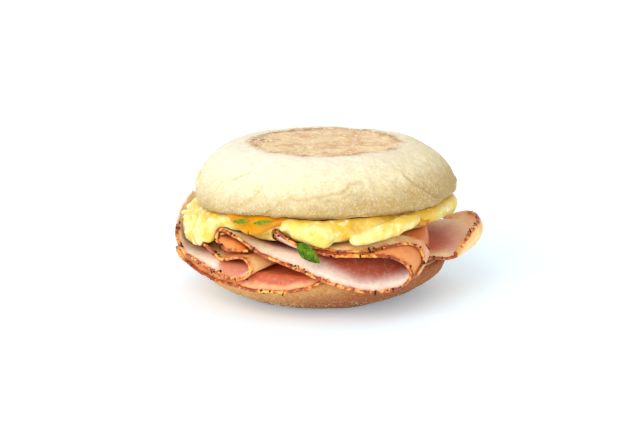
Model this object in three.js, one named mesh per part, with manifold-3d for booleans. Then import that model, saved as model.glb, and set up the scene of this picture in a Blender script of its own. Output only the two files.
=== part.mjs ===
// Breakfast sandwich: a split muffin filled with folded ham slices, an omelette, melted cheese and basil.
// Millimetres, +Z up. The origin is the centre of the flat spot that the muffin rests on, -Y is the front.
// Angles in tables are degrees round the middle: 0 is +X, 90 the back, 180 the left and 270 the front.
import * as THREE from "three";
import { mergeVertices } from "three/addons/utils/BufferGeometryUtils.js";
import Module from "manifold-3d";

const wasm = await Module();
wasm.setup();

// ---- driving dimensions ----
const heelRadius = 46;
const heelHeight = 15;
const heelFlatRadius = 27;
const crownRadius = 47.4;
const crownShift = 1.8; // the crown sits this far towards +X
const crownFlatRadius = 29;
const crownLip = 37; // height of the crown's cut face
const crownTop = 55.4;
const hamThickness = 1.5;
const wrapThickness = 0.9; // the thin slice nested round the front slice
const layerPitch = 1.85; // from one ham layer to the next, where the muffin presses them flat
const clearance = 0.32; // left between pieces that touch
const cheeseSide = 72.5;
const cheesePlace = [-0.5, -0.8]; // x and y of its middle
const cheeseThickness = 2;
const cheeseTurn = 102.6; // from +X to the middle of one of its sides
const cheeseCorner = 8; // higher is sharper: the power of the rounded square
const eggTop = 34.35;
const leafThickness = 0.5;
const grainRadius = 0.75; // cracked pepper on the rinds
const grainPitch = 19; // from one to the next

const colours = {
  bread: 0xecd9ab,
  ham: 0xe9b9a0,
  egg: 0xf4e08a,
  cheese: 0xe8a81c,
  basil: 0x4e7f1f,
};

// ---- small helpers ----
const mix = THREE.MathUtils.lerp;
const rad = THREE.MathUtils.degToRad;
const smooth = THREE.MathUtils.smoothstep;
const vec = (x, y, z) => new THREE.Vector3(x, y, z);
const polar = (degrees, r, z) => vec(r * Math.cos(rad(degrees)), r * Math.sin(rad(degrees)), z);

// A gentle unevenness round the food, from three waves that repeat each full turn.
const waveParts = [
  [3, 1, 0.5],
  [5, 2.3, 0.3],
  [9, 4.1, 0.2],
];
const wave = (turn, seed) =>
  waveParts.reduce((sum, [count, shift, size]) => sum + size * Math.sin(count * turn + shift * seed), 0);

// Reads a table of [degrees, a, b, ...] rows at any angle, eased from row to row and on round the full turn.
function roundTable(rows) {
  return (degrees) => {
    const at = THREE.MathUtils.euclideanModulo(degrees, 360);
    const next = rows.findIndex((row) => row[0] > at);
    const after = rows[next < 0 ? 0 : next];
    const before = rows[(next < 0 ? rows.length : next || rows.length) - 1];
    const span = THREE.MathUtils.euclideanModulo(after[0] - before[0], 360);
    const share = smooth(THREE.MathUtils.euclideanModulo(at - before[0], 360) / span, 0, 1);
    return before.slice(1).map((value, c) => mix(value, after[c + 1], share));
  };
}

// A closed geometry that holds positions alone, as a solid that can be joined and cut.
function solidFrom(geometry) {
  const merged = mergeVertices(geometry, 1e-4);
  return new wasm.Manifold(
    new wasm.Mesh({
      numProp: 3,
      vertProperties: merged.attributes.position.array,
      triVerts: new Uint32Array(merged.index.array),
    }),
  );
}

function solidFromPoints(points, triangles) {
  const geometry = new THREE.BufferGeometry()
    .setAttribute("position", new THREE.Float32BufferAttribute(points.flatMap((p) => [p.x, p.y, p.z]), 3))
    .setIndex(triangles);
  return solidFrom(geometry);
}

// A round solid from rings, the first and last of which are its poles; place(turn, ring) gives each point.
function ringSolid(rings, segments, place) {
  const points = [place(0, rings[0])];
  const triangles = [];
  const inner = rings.slice(1, -1);
  for (const ring of inner)
    for (let s = 0; s < segments; s++) points.push(place((2 * Math.PI * s) / segments, ring));
  const top = points.push(place(0, rings.at(-1))) - 1;
  const at = (k, s) => 1 + k * segments + (s % segments);
  for (let s = 0; s < segments; s++) {
    triangles.push(0, at(0, s + 1), at(0, s));
    for (let k = 0; k < inner.length - 1; k++) {
      triangles.push(at(k, s), at(k, s + 1), at(k + 1, s + 1));
      triangles.push(at(k, s), at(k + 1, s + 1), at(k + 1, s));
    }
    triangles.push(at(inner.length - 1, s), at(inner.length - 1, s + 1), top);
  }
  return solidFromPoints(points, triangles);
}

// The way that a line of points runs at one of them, whatever the lengths of the steps before and after it.
const heading = (before, here, after) =>
  here.clone().sub(before).normalize().add(after.clone().sub(here).normalize());

// A thin solid either side of a grid of points, both faces split into triangles alike. In a "round" grid the
// last column joins the first and the first row is one point. "grow" pushes the free edges outwards.
function sheetSolid(grid, thickness, { round = false, grow = 0 } = {}) {
  const rows = grid.length;
  const columns = grid[0].length;
  const column = (j) => (round ? (j + columns) % columns : THREE.MathUtils.clamp(j, 0, columns - 1));
  const row = (i) => THREE.MathUtils.clamp(i, 0, rows - 1);
  const away = (edge, before) => edge.clone().sub(before).setLength(grow);
  const spread = grid.map((line, i) =>
    line.map((p, j) => {
      const moved = p.clone();
      if (grow && i === rows - 1) moved.add(away(p, grid[i - 1][j]));
      if (grow && !round && i === 0) moved.add(away(p, grid[1][j]));
      if (grow && !round && j === 0) moved.add(away(p, line[1]));
      if (grow && !round && j === columns - 1) moved.add(away(p, line[j - 1]));
      return moved;
    }),
  );
  const normal = (i, j) => {
    if (round && i === 0) return vec(0, 0, 1);
    const along = heading(grid[i][column(j - 1)], grid[i][j], grid[i][column(j + 1)]);
    const across = heading(grid[row(i - 1)][j], grid[i][j], grid[row(i + 1)][j]);
    return round ? across.cross(along).normalize() : along.cross(across).normalize();
  };
  const points = [];
  for (const side of [0.5, -0.5])
    for (let i = 0; i < rows; i++)
      for (let j = 0; j < columns; j++)
        points.push(spread[i][j].clone().addScaledVector(normal(i, j), side * thickness));
  const under = rows * columns;
  const at = (i, j) => i * columns + column(j);
  const triangles = [];
  const face = (a, b, c) => triangles.push(a, b, c, a + under, c + under, b + under);
  const wall = (a, b) => triangles.push(b, a, a + under, b, a + under, b + under);
  for (let i = 0; i < rows - 1; i++)
    for (let j = 0; j < (round ? columns : columns - 1); j++) {
      const [a, b, c, d] = [at(i, j), at(i, j + 1), at(i + 1, j + 1), at(i + 1, j)];
      if (round) {
        if (i > 0) face(a, c, b);
        face(a, d, c);
      } else {
        face(a, b, c);
        face(a, c, d);
      }
    }
  if (round) for (let j = 0; j < columns; j++) wall(at(rows - 1, j), at(rows - 1, j + 1));
  else {
    for (let j = 0; j < columns - 1; j++) {
      wall(at(0, j), at(0, j + 1));
      wall(at(rows - 1, j + 1), at(rows - 1, j));
    }
    for (let i = 0; i < rows - 1; i++) {
      wall(at(i + 1, 0), at(i, 0));
      wall(at(i, columns - 1), at(i + 1, columns - 1));
    }
  }
  return solidFromPoints(points, triangles);
}

const largestPiece = (solid) => solid.decompose().sort((a, b) => b.volume() - a.volume())[0];

// ---- muffin ----
// Half of the muffin's outline as [radius, height], from its flat spot to its widest line. A larger slope
// makes it run out more evenly, as a cone does.
function muffinSide(flatRadius, radius, rise, steps, slope = 1.12) {
  return Array.from({ length: steps + 1 }, (_, k) => {
    const turn = (k / steps) * (Math.PI / 2);
    return [mix(flatRadius, radius, Math.sin(turn) ** slope), rise * (1 - Math.cos(turn) ** 1.12)];
  });
}

function heelSolid() {
  const side = muffinSide(heelFlatRadius, heelRadius, heelHeight - 2, 6, 1.8);
  const edge = [
    [heelRadius - 0.8, heelHeight - 0.8],
    [heelRadius - 2.6, heelHeight],
  ];
  const rings = [[0, 0], ...side, ...edge, [heelRadius / 2, heelHeight], [0, heelHeight]];
  return ringSolid(rings, 52, (turn, [r, z]) => {
    const uneven = r * (1 + 0.008 * wave(turn, 1.7) * smooth(r, heelFlatRadius, heelRadius));
    return vec(uneven * Math.cos(turn), uneven * Math.sin(turn), z);
  });
}

// The crown's lip sags over the ham on its left side.
const lipSag = (degrees) => 3.5 * Math.exp(-(((degrees - 201) / 29) ** 2));

function crownSolid(grow = 0) {
  const lip = crownLip - grow;
  const side = muffinSide(crownFlatRadius, crownRadius, crownTop - crownLip - 2.4, 6);
  const underside = [
    [0, lip, 0],
    [crownRadius * 0.6, lip, 0],
    [crownRadius - 3.6, lip, 0],
    [crownRadius - 1.7, lip + 0.2, 0.9],
    [crownRadius - 0.4, lip + 1.2, 1],
  ];
  const outside = side.reverse().map(([r, down]) => {
    const z = crownTop - down;
    return [r, z, 1 - smooth(z, crownLip, crownTop - 4)];
  });
  const rings = [...underside, ...outside, [0, crownTop - 0.3, 0]];
  return ringSolid(rings, 56, (turn, [r, z, sag]) => {
    const uneven = r * (1 + 0.01 * wave(turn, 0.6) * smooth(r, crownFlatRadius * 0.6, crownRadius));
    const reach = uneven + (r > 0 ? grow : 0);
    const height = z - sag * lipSag(THREE.MathUtils.radToDeg(turn));
    return vec(crownShift + reach * Math.cos(turn), reach * Math.sin(turn), height);
  });
}

// ---- ham ----
const level = (n) => heelHeight + clearance + hamThickness / 2 + n * layerPitch;

// The lowest slice is a round sheet that hangs over the heel's edge: angle, radius and height of its rind.
const baseRind = roundTable([
  [5, 45.5, 15.6],
  [30, 49, 13.6],
  [62, 50.3, 12],
  [95, 48.8, 12.8],
  [130, 50.6, 11.8],
  [160, 51.6, 13.6],
  [187, 52.5, 16.4],
  [199, 52, 15.6],
  [213, 49.9, 13.2],
  [228, 49.6, 11.9],
  [244, 49.4, 11.3],
  [256, 49.4, 11.5],
  [264, 48.7, 13],
  [272, 46.8, 15.4],
  [290, 42, level(0)],
  [345, 41.5, level(0)],
]);

const baseBend = 44.4; // it lies flat inside this radius and bends down beyond it

function baseGrid(columns, flatRings, hangingRings) {
  return Array.from({ length: flatRings + hangingRings + 1 }, (_, i) =>
    Array.from({ length: columns }, (_, j) => {
      const degrees = (360 * j) / columns;
      const [radius, height] = baseRind(degrees);
      const bend = Math.min(radius - 1.6, baseBend);
      const flat = bend * Math.min(i / flatRings, 1) ** 0.6;
      const r = mix(flat, radius, Math.max(i - flatRings, 0) / hangingRings);
      return polar(degrees, r, mix(level(0), height, smooth(r, baseBend, Math.max(radius, 46.5))));
    }),
  );
}

// A folded slice is lofted from its front rind to its back rind. Both run along the lower layer, round the
// bend and back along the upper layer. Each row of "front" is [x, y, z of the rind, height of the layer that
// it is pressed to, how far in that takes, how far the middle moves to +X], and "back" has the same points.
function foldedLine({ front, back }, share) {
  const stations = front.map(([x, y, z, rest, reach, bulge], i) => {
    const start = vec(x, y, z);
    const end = back[i];
    const rind = share < 0.5 ? start : end;
    const inwards = Math.min(share, 1 - share) * start.distanceTo(end);
    const pressed = Math.sin((Math.PI / 2) * Math.min(inwards / reach, 1));
    const p = start.clone().lerp(end, share);
    p.x += bulge * (1 - Math.abs(2 * share - 1) ** 4);
    p.z = mix(rind.z, rest, pressed);
    return p;
  });
  return new THREE.CatmullRomCurve3(stations, false, "centripetal");
}

const foldedGrid = (slice, perStep, shares) =>
  shares.map((share) => foldedLine(slice, share).getPoints(perStep * (slice.front.length - 1)));

// Rows crowd towards the rinds, and more so at the front.
const rowShares = [0, 0.03, 0.065, 0.11, 0.18, 0.34, 0.84, 0.94, 1];

// The left slice's rind comes down from the back left, along the front, and folds back over itself.
const leftSlice = {
  front: [
    [-48, 18, 33, level(1), 50, 0],
    [-51.4, 8, 28.8, level(1), 20, 0],
    [-52.4, -4, 22.9, level(1), 12, 0],
    [-49.4, -16, 18.6, level(1), 8, 0],
    [-43.2, -27.4, 17.2, level(1), 6, 0],
    [-36.5, -34.6, 15.1, level(1), 5.5, 0],
    [-30.3, -40, 14, level(1), 6, 1],
    [-26.3, -42.6, 15.1, level(1) + 0.15, 6, 3],
    [-24, -43.7, 18.2, level(2) - 0.2, 20, 6],
    [-25.6, -42.2, 21.6, level(2) + 1.5, 14, 4],
    [-29.2, -39.2, 22, level(2) + 0.9, 12, 1],
    [-34, -33.8, 19.9, level(2) + 0.2, 8, 0],
    [-37.7, -28.6, 20.9, level(2), 8, 0],
    [-41, -22.4, 22.6, level(2), 8, 0],
  ],
  back: [
    [149, 51, 31.6],
    [140, 51.2, 26.6],
    [130, 51.2, 19.8],
    [119, 51, 15.8],
    [108, 51, 15.4],
    [96, 51, 15.4],
    [84, 51, 15.4],
    [75, 51.2, 15.8],
    [69.5, 50.6, 18.2],
    [74, 49.8, 20.8],
    [84, 49.5, 19.8],
    [98, 49.5, 18.9],
    [114, 49.5, 19.6],
    [132, 49.5, 22.4],
  ].map((row) => polar(...row)),
};

// The front slice: its left end is a flap turned under, its rind falls to the right, folds over and runs
// back to the left.
const frontSlice = {
  front: [
    [-25.2, -37.2, 23.6, 23.2, 6, 0],
    [-29.6, -34.6, 23.1, 24.6, 5, 0],
    [-33.6, -30.4, 22.7, 25, 5, 0],
    [-36.6, -27.2, 25.2, 26.2, 6, 0],
    [-35.6, -26.6, 28.4, 27.6, 10, 0],
    [-29.3, -34.1, 28, 27.3, 10, 0],
    [-21.1, -42, 24, 25.4, 10, 0],
    [-11, -47.2, 21, level(4), 10, 0],
    [0, -49.5, 16.7, level(4), 12, 0],
    [10, -49.7, 13.2, level(4), 13, 0],
    [20, -47.4, 11.4, level(4), 16, 1],
    [29.1, -42.5, 12.7, level(4), 24, 5],
    [31.4, -40.9, 15.7, level(4) + 0.9, 32, 7],
    [29.8, -41.4, 19.6, level(4) + 2.5, 24, 8],
    [24, -44.2, 23.1, level(4) + 3.2, 10, 6],
    [14.4, -47.4, 24.3, level(5) + 0.6, 9, 1],
    [4, -48.2, 24.9, level(5), 9, 0],
    [-6.9, -46, 27.5, level(5), 10, 0],
    [-15.5, -40.1, 31.6, level(5) + 1, 14, 0],
  ],
};
// Its back rind lies opposite the front one, [radius, height] in the same order.
const frontSliceBack = [
  [44.5, 22.4],
  [44.5, 22.8],
  [44.5, 23.2],
  [45.5, 24.4],
  [46.5, 25.6],
  [50, 25.8],
  [50, 23.4],
  ...Array(4).fill([50, 22.3]),
  [49.5, 22.35],
  [50.8, 23.2],
  [49.2, 24.9],
  [48.5, 26.2],
  ...Array(4).fill([48.5, 25.6]),
];
frontSlice.back = frontSlice.front.map(([x, y], i) =>
  polar(THREE.MathUtils.radToDeg(Math.atan2(-y, x)), ...frontSliceBack[i]),
);

// A thin slice nested against the outside of the front slice's right bend. Its places are [station, how far
// in] on the front slice, where a station is a row of its table: first along its rind, then its hidden end.
const wrapRind = [
  [11.9, 0.4],
  [12.1, 3.2],
  [12.17, 6.6],
  [12.5, 8],
  [13, 8.6],
  [13.4, 8.5],
  [13.75, 7],
  [14.2, 4],
  [14.6, 2],
  [15, 1.1],
  [15.8, 0.6],
  [16.9, 0.5],
];
const wrapEnd = { stations: [11.3, 17], depths: [15, 11] };
const wrapOffset = (hamThickness + wrapThickness) / 2 + clearance;
const frontSliceWidth = 85; // from rind to rind at its right bend

function wrapGrid(columns, rows) {
  const last = frontSlice.front.length - 1;
  const rind = new THREE.CatmullRomCurve3(wrapRind.map(([station, depth]) => vec(station, depth, 0)));
  const at = (station, depth) => foldedLine(frontSlice, depth / frontSliceWidth).getPoint(station / last);
  return Array.from({ length: rows + 1 }, (_, i) =>
    Array.from({ length: columns + 1 }, (_, j) => {
      const start = rind.getPoint(j / columns);
      const station = mix(start.x, mix(...wrapEnd.stations, j / columns), i / rows);
      const depth = mix(start.y, mix(...wrapEnd.depths, j / columns), i / rows);
      const p = at(station, depth);
      const along = at(station + 0.05, depth).sub(at(station - 0.05, depth));
      const across = at(station, depth + 0.3).sub(at(station, depth - 0.3));
      return p.addScaledVector(along.cross(across).normalize(), -wrapOffset);
    }),
  );
}

// The right slice lies under the front one and rolls up at the right: for each section from front to back,
// its y, the x of the roll, the height of its low point, and the roll's radius.
const rightSections = [
  [-22, 48.6, 16.7, 0.9],
  [-17, 51, 16.6, 1.8],
  [-11, 54.6, 17.2, 3.2],
  [-4, 58.4, 18.5, 4.1],
  [6, 59, 20.4, 3.4],
  [16, 56, 21.8, 2.2],
  [19, 52, 21.2, 1.7],
  [22, 47, 20.2, 1.3],
];
const rightInnerEdge = 12; // x of the edge that the other slices hide
const rollAngles = [-90, -60, -30, 0, 25, 50]; // round the roll, from its low point

function rightGrid(perStep, rows) {
  const sections = rightSections.map(([y, far, low, radius]) => {
    const frontness = smooth(-y, 6, 22);
    const bedded = mix(level(3), low, 0.7 * frontness);
    const flat = [
      vec(rightInnerEdge, y, level(3)),
      vec(24, y, mix(level(3), bedded, 0.5)),
      vec(34, y - 2 * frontness, bedded),
      vec(40, y - frontness, mix(bedded, low, 0.5)),
    ];
    const lowest = vec(far - Math.max(radius, 2) * 1.6, y + 1.5 * frontness, low);
    const roll = rollAngles.map((degrees) => {
      const a = rad(degrees);
      return vec(far - radius + radius * Math.cos(a), y + 3 * frontness, low + radius * (1 + Math.sin(a)));
    });
    return new THREE.CatmullRomCurve3([...flat, lowest, ...roll], false, "centripetal");
  });
  const steps = perStep * (4 + rollAngles.length);
  const lines = Array.from({ length: steps + 1 }, (_, j) =>
    new THREE.CatmullRomCurve3(sections.map((s) => s.getPoint(j / steps)), false, "centripetal"),
  );
  return Array.from({ length: rows + 1 }, (_, i) => lines.map((line) => line.getPoint(i / rows)));
}

// ---- cheese ----
const cheeseBend = 40.5; // beyond this radius the corners droop
const droopRadius = 3;
const droopMost = rad(70);

function cheeseGrid(steps) {
  const [c, s] = [Math.cos(rad(cheeseTurn)), Math.sin(rad(cheeseTurn))];
  const middle = eggTop + clearance + cheeseThickness / 2;
  return Array.from({ length: steps + 1 }, (_, i) =>
    Array.from({ length: steps + 1 }, (_, j) => {
      const [u, v] = [2 * (j / steps) - 1, 2 * (i / steps) - 1];
      const flat = Math.max(Math.abs(u), Math.abs(v));
      const power = (Math.abs(u) ** cheeseCorner + Math.abs(v) ** cheeseCorner) ** (1 / cheeseCorner);
      const size = (cheeseSide / 2) * (flat > 0 ? flat / power : 1);
      const r = size * Math.hypot(u, v);
      const over = Math.max(r - cheeseBend, 0);
      const angle = Math.min(over / droopRadius, droopMost);
      const straight = over - angle * droopRadius;
      const reach = Math.min(r, cheeseBend) + droopRadius * Math.sin(angle) + straight * Math.cos(angle);
      const drop = droopRadius * (1 - Math.cos(angle)) + straight * Math.sin(angle);
      const scale = r > 0 ? (size * reach) / r : 1;
      const [x, y] = [(u * c - v * s) * scale, (u * s + v * c) * scale];
      return vec(cheesePlace[0] + x, cheesePlace[1] + y, middle - drop);
    }),
  );
}

// ---- omelette ----
// Its edge all round: angle, radius, height of its lower edge and of its upper edge.
const eggEdge = roundTable([
  [0, 50, 29.4, 35.6],
  [30, 48.5, 28, 35.2],
  [60, 49.3, 27.4, 34.6],
  [95, 49.6, 27, 35],
  [130, 48.6, 27.6, 34.6],
  [152, 48.8, 27, 34],
  [172, 49.6, 23.2, 33.6],
  [188, 50.4, 20.6, 32.6],
  [204, 49.2, 21, 32.8],
  [212, 47.6, 23.6, 33.4],
  [218, 43.6, 28.6, 34.2],
  [228, 42, 29.6, 34.4],
  [250, 43, 30, 34.4],
  [255, 47.4, 33.4, 36],
  [258.5, 49, 30.6, 36.4],
  [266, 50.2, 28.8, 36.3],
  [272, 50.6, 27.6, 36.2],
  [276.5, 49.8, 29.8, 36.2],
  [290, 48.6, 30, 36.2],
  [305, 47.4, 31, 36.2],
  [320, 46.4, 32, 36],
  [330, 47.2, 31, 36],
  [344, 48, 30.6, 36],
]);
const eggUnderside = level(5) + hamThickness / 2 + clearance;
const eggFlat = 38; // inside this radius it is flat above and below
// Rings round its edge: how far they lie inside it, and how far up, where 0 is the flat underside, 1 the
// lower edge and 2 the upper edge.
const eggRings = [
  [-4, 0.7],
  [-1.4, 1],
  [-0.1, 1.35],
  [-0.2, 1.7],
  [-2, 2],
];

// A thick fold of omelette rolls over the front ham: the points of its middle line, with its thickness there.
const eggRoll = [
  [9.8, -48.2, 30, 3.4],
  [14.4, -47.3, 30.8, 5.2],
  [19.9, -45.4, 32, 5.8],
  [25.9, -41.4, 33.3, 5.8],
  [31.3, -36.4, 33.9, 5.2],
  [35.2, -31.8, 34.3, 3.2],
];

function eggSolid(segments) {
  const under = [0, eggFlat * 0.6, eggFlat].map((r) => ({ r, z: eggUnderside }));
  const over = [eggFlat, 0].map((r) => ({ r, z: eggTop }));
  const rim = eggRings.map(([inset, stage]) => ({ inset, stage }));
  const body = ringSolid([...under, ...rim, ...over], segments, (turn, { r, z, inset, stage }) => {
    if (inset === undefined) return vec(r * Math.cos(turn), r * Math.sin(turn), z);
    const [radius, low, high] = eggEdge((turn * 180) / Math.PI);
    const reach = radius + inset + 0.7 * wave(4 * turn, stage);
    const height = stage < 1 ? mix(eggUnderside, low, stage) : mix(low, high, stage - 1);
    return vec(reach * Math.cos(turn), reach * Math.sin(turn), height);
  });
  return body.add(rollSolid(eggRoll, 10));
}

// A soft round roll along points of [x, y, z, thickness], closed to a point at both ends.
function rollSolid(points, sides) {
  const line = new THREE.CatmullRomCurve3(points.map(([x, y, z]) => vec(x, y, z)));
  const steps = 2 * (points.length - 1);
  const rings = Array.from({ length: steps + 1 }, (_, i) => i / steps);
  return ringSolid(rings, sides, (turn, t) => {
    const k = Math.min(Math.floor(t * (points.length - 1)), points.length - 2);
    const thickness = mix(points[k][3], points[k + 1][3], t * (points.length - 1) - k);
    const radius = t > 0 && t < 1 ? thickness / 2 : 0;
    const along = line.getTangent(t);
    const side = vec(0, 0, 1).cross(along).normalize();
    const up = along.clone().cross(side);
    const centre = line.getPoint(t);
    return centre.addScaledVector(side, radius * Math.cos(turn)).addScaledVector(up, radius * Math.sin(turn));
  });
}

// ---- basil ----
// A leaf from its stalk end to its tip, with the direction of its width; it is cupped and its edges wave.
function leafGrid(stalk, tip, across, width, cup, steps = 9) {
  const side = across.clone().normalize();
  const out = tip.clone().sub(stalk).cross(side).normalize();
  return Array.from({ length: steps + 1 }, (_, i) => {
    const t = i / steps;
    const half = (width / 2) * Math.max(Math.sin(Math.PI * t ** 0.8) ** 0.8, 0.06);
    return [-1, -0.5, 0, 0.5, 1].map((s) => {
      const edgeWave = 0.18 * Math.abs(s) * Math.sin(9 * t + 2 * s);
      const lift = cup * (s * s + 0.35 * Math.sin(Math.PI * t)) + edgeWave;
      return stalk.clone().lerp(tip, t).addScaledVector(side, s * half).addScaledVector(out, lift);
    });
  });
}

const leaves = {
  basil_front: leafGrid(vec(-7.6, -49.4, 29.2), vec(-0.2, -50.6, 23), vec(0.6, 0, 0.8), 4.6, 0.5),
  basil_left: leafGrid(vec(-29.4, -38.6, 34.3), vec(-24.6, -42, 35.2), vec(0, 0, 1), 2.2, 0.2, 5),
  basil_middle: leafGrid(vec(-22.4, -43.2, 34.6), vec(-16.6, -45.4, 36), vec(0, 0, 1), 2, 0.2, 5),
};

// ---- cracked pepper ----
// A repeatable draw between 0 and 1.
function drawFrom(seed) {
  let state = seed;
  return () => {
    state = (state * 16807) % 2147483647;
    return state / 2147483647;
  };
}

function grainSolid(centre, size, draw) {
  const grain = new THREE.IcosahedronGeometry(size, 0);
  grain.scale(0.8 + 0.5 * draw(), 0.8 + 0.4 * draw(), 0.7 + 0.3 * draw());
  grain.rotateX(6 * draw()).rotateY(6 * draw()).translate(centre.x, centre.y, centre.z);
  return solidFrom(grain.deleteAttribute("normal").deleteAttribute("uv"));
}

// ---- export ----
const group = new THREE.Group();

function addNode(name, solid, colour) {
  const { vertProperties, triVerts, numProp, numVert } = solid.getMesh();
  const position = new Float32Array(numVert * 3);
  for (let i = 0; i < numVert; i++)
    position.set(vertProperties.subarray(i * numProp, i * numProp + 3), i * 3);
  const geometry = new THREE.BufferGeometry()
    .setAttribute("position", new THREE.BufferAttribute(position, 3))
    .setIndex(new THREE.BufferAttribute(triVerts, 1));
  const material = new THREE.MeshStandardMaterial({ color: colour, roughness: 0.7, metalness: 0 });
  const mesh = new THREE.Mesh(geometry, material);
  mesh.name = name;
  group.add(mesh);
}

const grids = {
  ham_base: baseGrid(48, 3, 3),
  ham_left: foldedGrid(leftSlice, 3, rowShares),
  ham_front: foldedGrid(frontSlice, 3, rowShares),
  ham_wrap: wrapGrid(16, 5),
  ham_right: rightGrid(2, 11),
  cheese: cheeseGrid(11),
  ...leaves,
};
const rinds = {
  ham_base: [grids.ham_base.at(-1)],
  ham_left: [grids.ham_left[0], grids.ham_left.at(-1)],
  ham_front: [grids.ham_front[0], grids.ham_front.at(-1)],
  ham_wrap: [grids.ham_wrap[0]],
  ham_right: [[...grids.ham_right[0].slice(9), ...grids.ham_right.slice(1).map((line) => line.at(-1))]],
};
const thicknesses = {
  ham: hamThickness,
  ham_wrap: wrapThickness,
  cheese: cheeseThickness,
  basil: leafThickness,
};
const kind = (name) => name.split("_")[0];

function sheet(name, gap = 0) {
  const thickness = thicknesses[name] ?? thicknesses[kind(name)];
  return sheetSolid(grids[name], thickness + 2 * gap, { round: name === "ham_base", grow: gap });
}

const solids = { heel: heelSolid(), crown: crownSolid() };
for (const name of Object.keys(grids)) solids[name] = sheet(name);

// The soft omelette fills what the other pieces leave it.
const pressing = Object.keys(grids).map((name) => sheet(name, clearance));
const cutters = [...pressing, crownSolid(clearance)];
solids.omelette = largestPiece(cutters.reduce((body, other) => body.subtract(other), eggSolid(50)));

// Pepper sits along each rind, wherever it is clear of the other pieces.
const draw = drawFrom(11);
function addPepper(name, rind) {
  const line = new THREE.CatmullRomCurve3(rind);
  const count = Math.round(line.getLength() / grainPitch);
  const others = Object.keys(solids).filter((other) => other !== name);
  for (let k = 0; k < count; k++) {
    const centre = line.getPointAt((k + 0.2 + 0.6 * draw()) / count);
    centre.add(vec(draw() - 0.5, draw() - 0.5, draw() - 0.5));
    const size = grainRadius * (0.7 + 0.5 * draw());
    const room = grainSolid(centre, size + clearance, () => 0.8);
    if (others.some((other) => solids[other].intersect(room).volume() > 0)) continue;
    const joined = solids[name].add(grainSolid(centre, size, draw));
    if (joined.decompose().length === 1) solids[name] = joined;
  }
}
for (const [name, lines] of Object.entries(rinds)) for (const rind of lines) addPepper(name, rind);

const paints = { heel: colours.bread, crown: colours.bread, omelette: colours.egg, ...colours };
for (const [name, solid] of Object.entries(solids)) addNode(name, solid, paints[kind(name)]);

export default group;
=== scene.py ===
import math

import bpy
import numpy as np
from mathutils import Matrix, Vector, noise


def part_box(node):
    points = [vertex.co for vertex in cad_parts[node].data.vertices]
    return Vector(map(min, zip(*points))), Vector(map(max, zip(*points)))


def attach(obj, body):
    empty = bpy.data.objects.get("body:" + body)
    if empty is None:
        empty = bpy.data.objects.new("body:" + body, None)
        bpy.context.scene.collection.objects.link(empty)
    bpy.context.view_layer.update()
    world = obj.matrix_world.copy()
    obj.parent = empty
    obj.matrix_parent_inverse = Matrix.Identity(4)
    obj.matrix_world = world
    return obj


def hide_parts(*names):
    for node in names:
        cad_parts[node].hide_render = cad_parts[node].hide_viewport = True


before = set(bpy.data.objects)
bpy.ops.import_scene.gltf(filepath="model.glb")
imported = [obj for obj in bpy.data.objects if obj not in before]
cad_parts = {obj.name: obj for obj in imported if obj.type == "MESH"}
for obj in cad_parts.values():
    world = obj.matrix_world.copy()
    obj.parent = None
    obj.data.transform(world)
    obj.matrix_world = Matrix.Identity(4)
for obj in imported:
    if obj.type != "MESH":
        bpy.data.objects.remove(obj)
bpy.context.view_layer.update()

mm = 0.001
body = "root"


def smoothStep(x, low, high):
    t = np.clip((x - low) / (high - low), 0, 1)
    return t * t * (3 - 2 * t)


def mix(a, b, share):
    return a + (b - a) * share


# 1 at 0, and falling away evenly on both sides.
def bell(x, width):
    return np.exp(-((x / width) ** 2))


def polar(degrees, radius, height):
    turn = np.radians(degrees)
    return np.stack([radius * np.cos(turn), radius * np.sin(turn), height + 0 * turn], -1)


# How far points lie from the sandwich's upright axis.
def axisDistance(points):
    return np.hypot(points[..., 0], points[..., 1])


def highest(node):
    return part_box(node)[1].z / mm


# A gentle unevenness round the food, from three waves that repeat each full turn.
def wave(turn, seed):
    waves = np.sin(3 * turn + seed) + 0.6 * np.sin(5 * turn + 2.3 * seed)
    return (waves + 0.4 * np.sin(9 * turn + 4.1 * seed)) / 2


# Reads a noise at each point; size is how far apart its features lie, in mm.
def readNoise(read, points, size, offset):
    places = (np.asarray(points).reshape(-1, 3) / size).tolist()
    return np.array([read(Vector(place) + offset) for place in places]).reshape(np.shape(points)[:-1])


# Lumps between -1 and 1.
def lumps(points, size, seed, octaves=1):
    offset = Vector((17.3 * seed, -9.1 * seed, 5.7 * seed))
    return readNoise(lambda place: noise.fractal(place, 1.0, 2.0, octaves), points, size, offset)


# Small round pits: 1 at the middle of each, falling to 0.
def pits(points, size, wide, seed):
    offset = Vector((3.1 * seed, 7.7 * seed, -5.3 * seed))
    nearest = readNoise(lambda place: noise.voronoi(place)[0][0], points, size, offset)
    return 1 - smoothStep(nearest, 0.2 * wide, wide)


# Reads rows of [degrees, a, b, ...] at any angle, eased from row to row and on round the full turn.
def roundTable(rows):
    table = np.array(rows + [[rows[0][0] + 360, *rows[0][1:]]], float)

    def read(degrees):
        at = (np.asarray(degrees) - table[0, 0]) % 360 + table[0, 0]
        k = np.clip(np.searchsorted(table[:, 0], at, side="right") - 1, 0, len(table) - 2)
        share = smoothStep(at, table[k, 0], table[k + 1, 0])
        return [mix(table[k, c], table[k + 1, c], share) for c in range(1, table.shape[1])]

    return read


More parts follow.
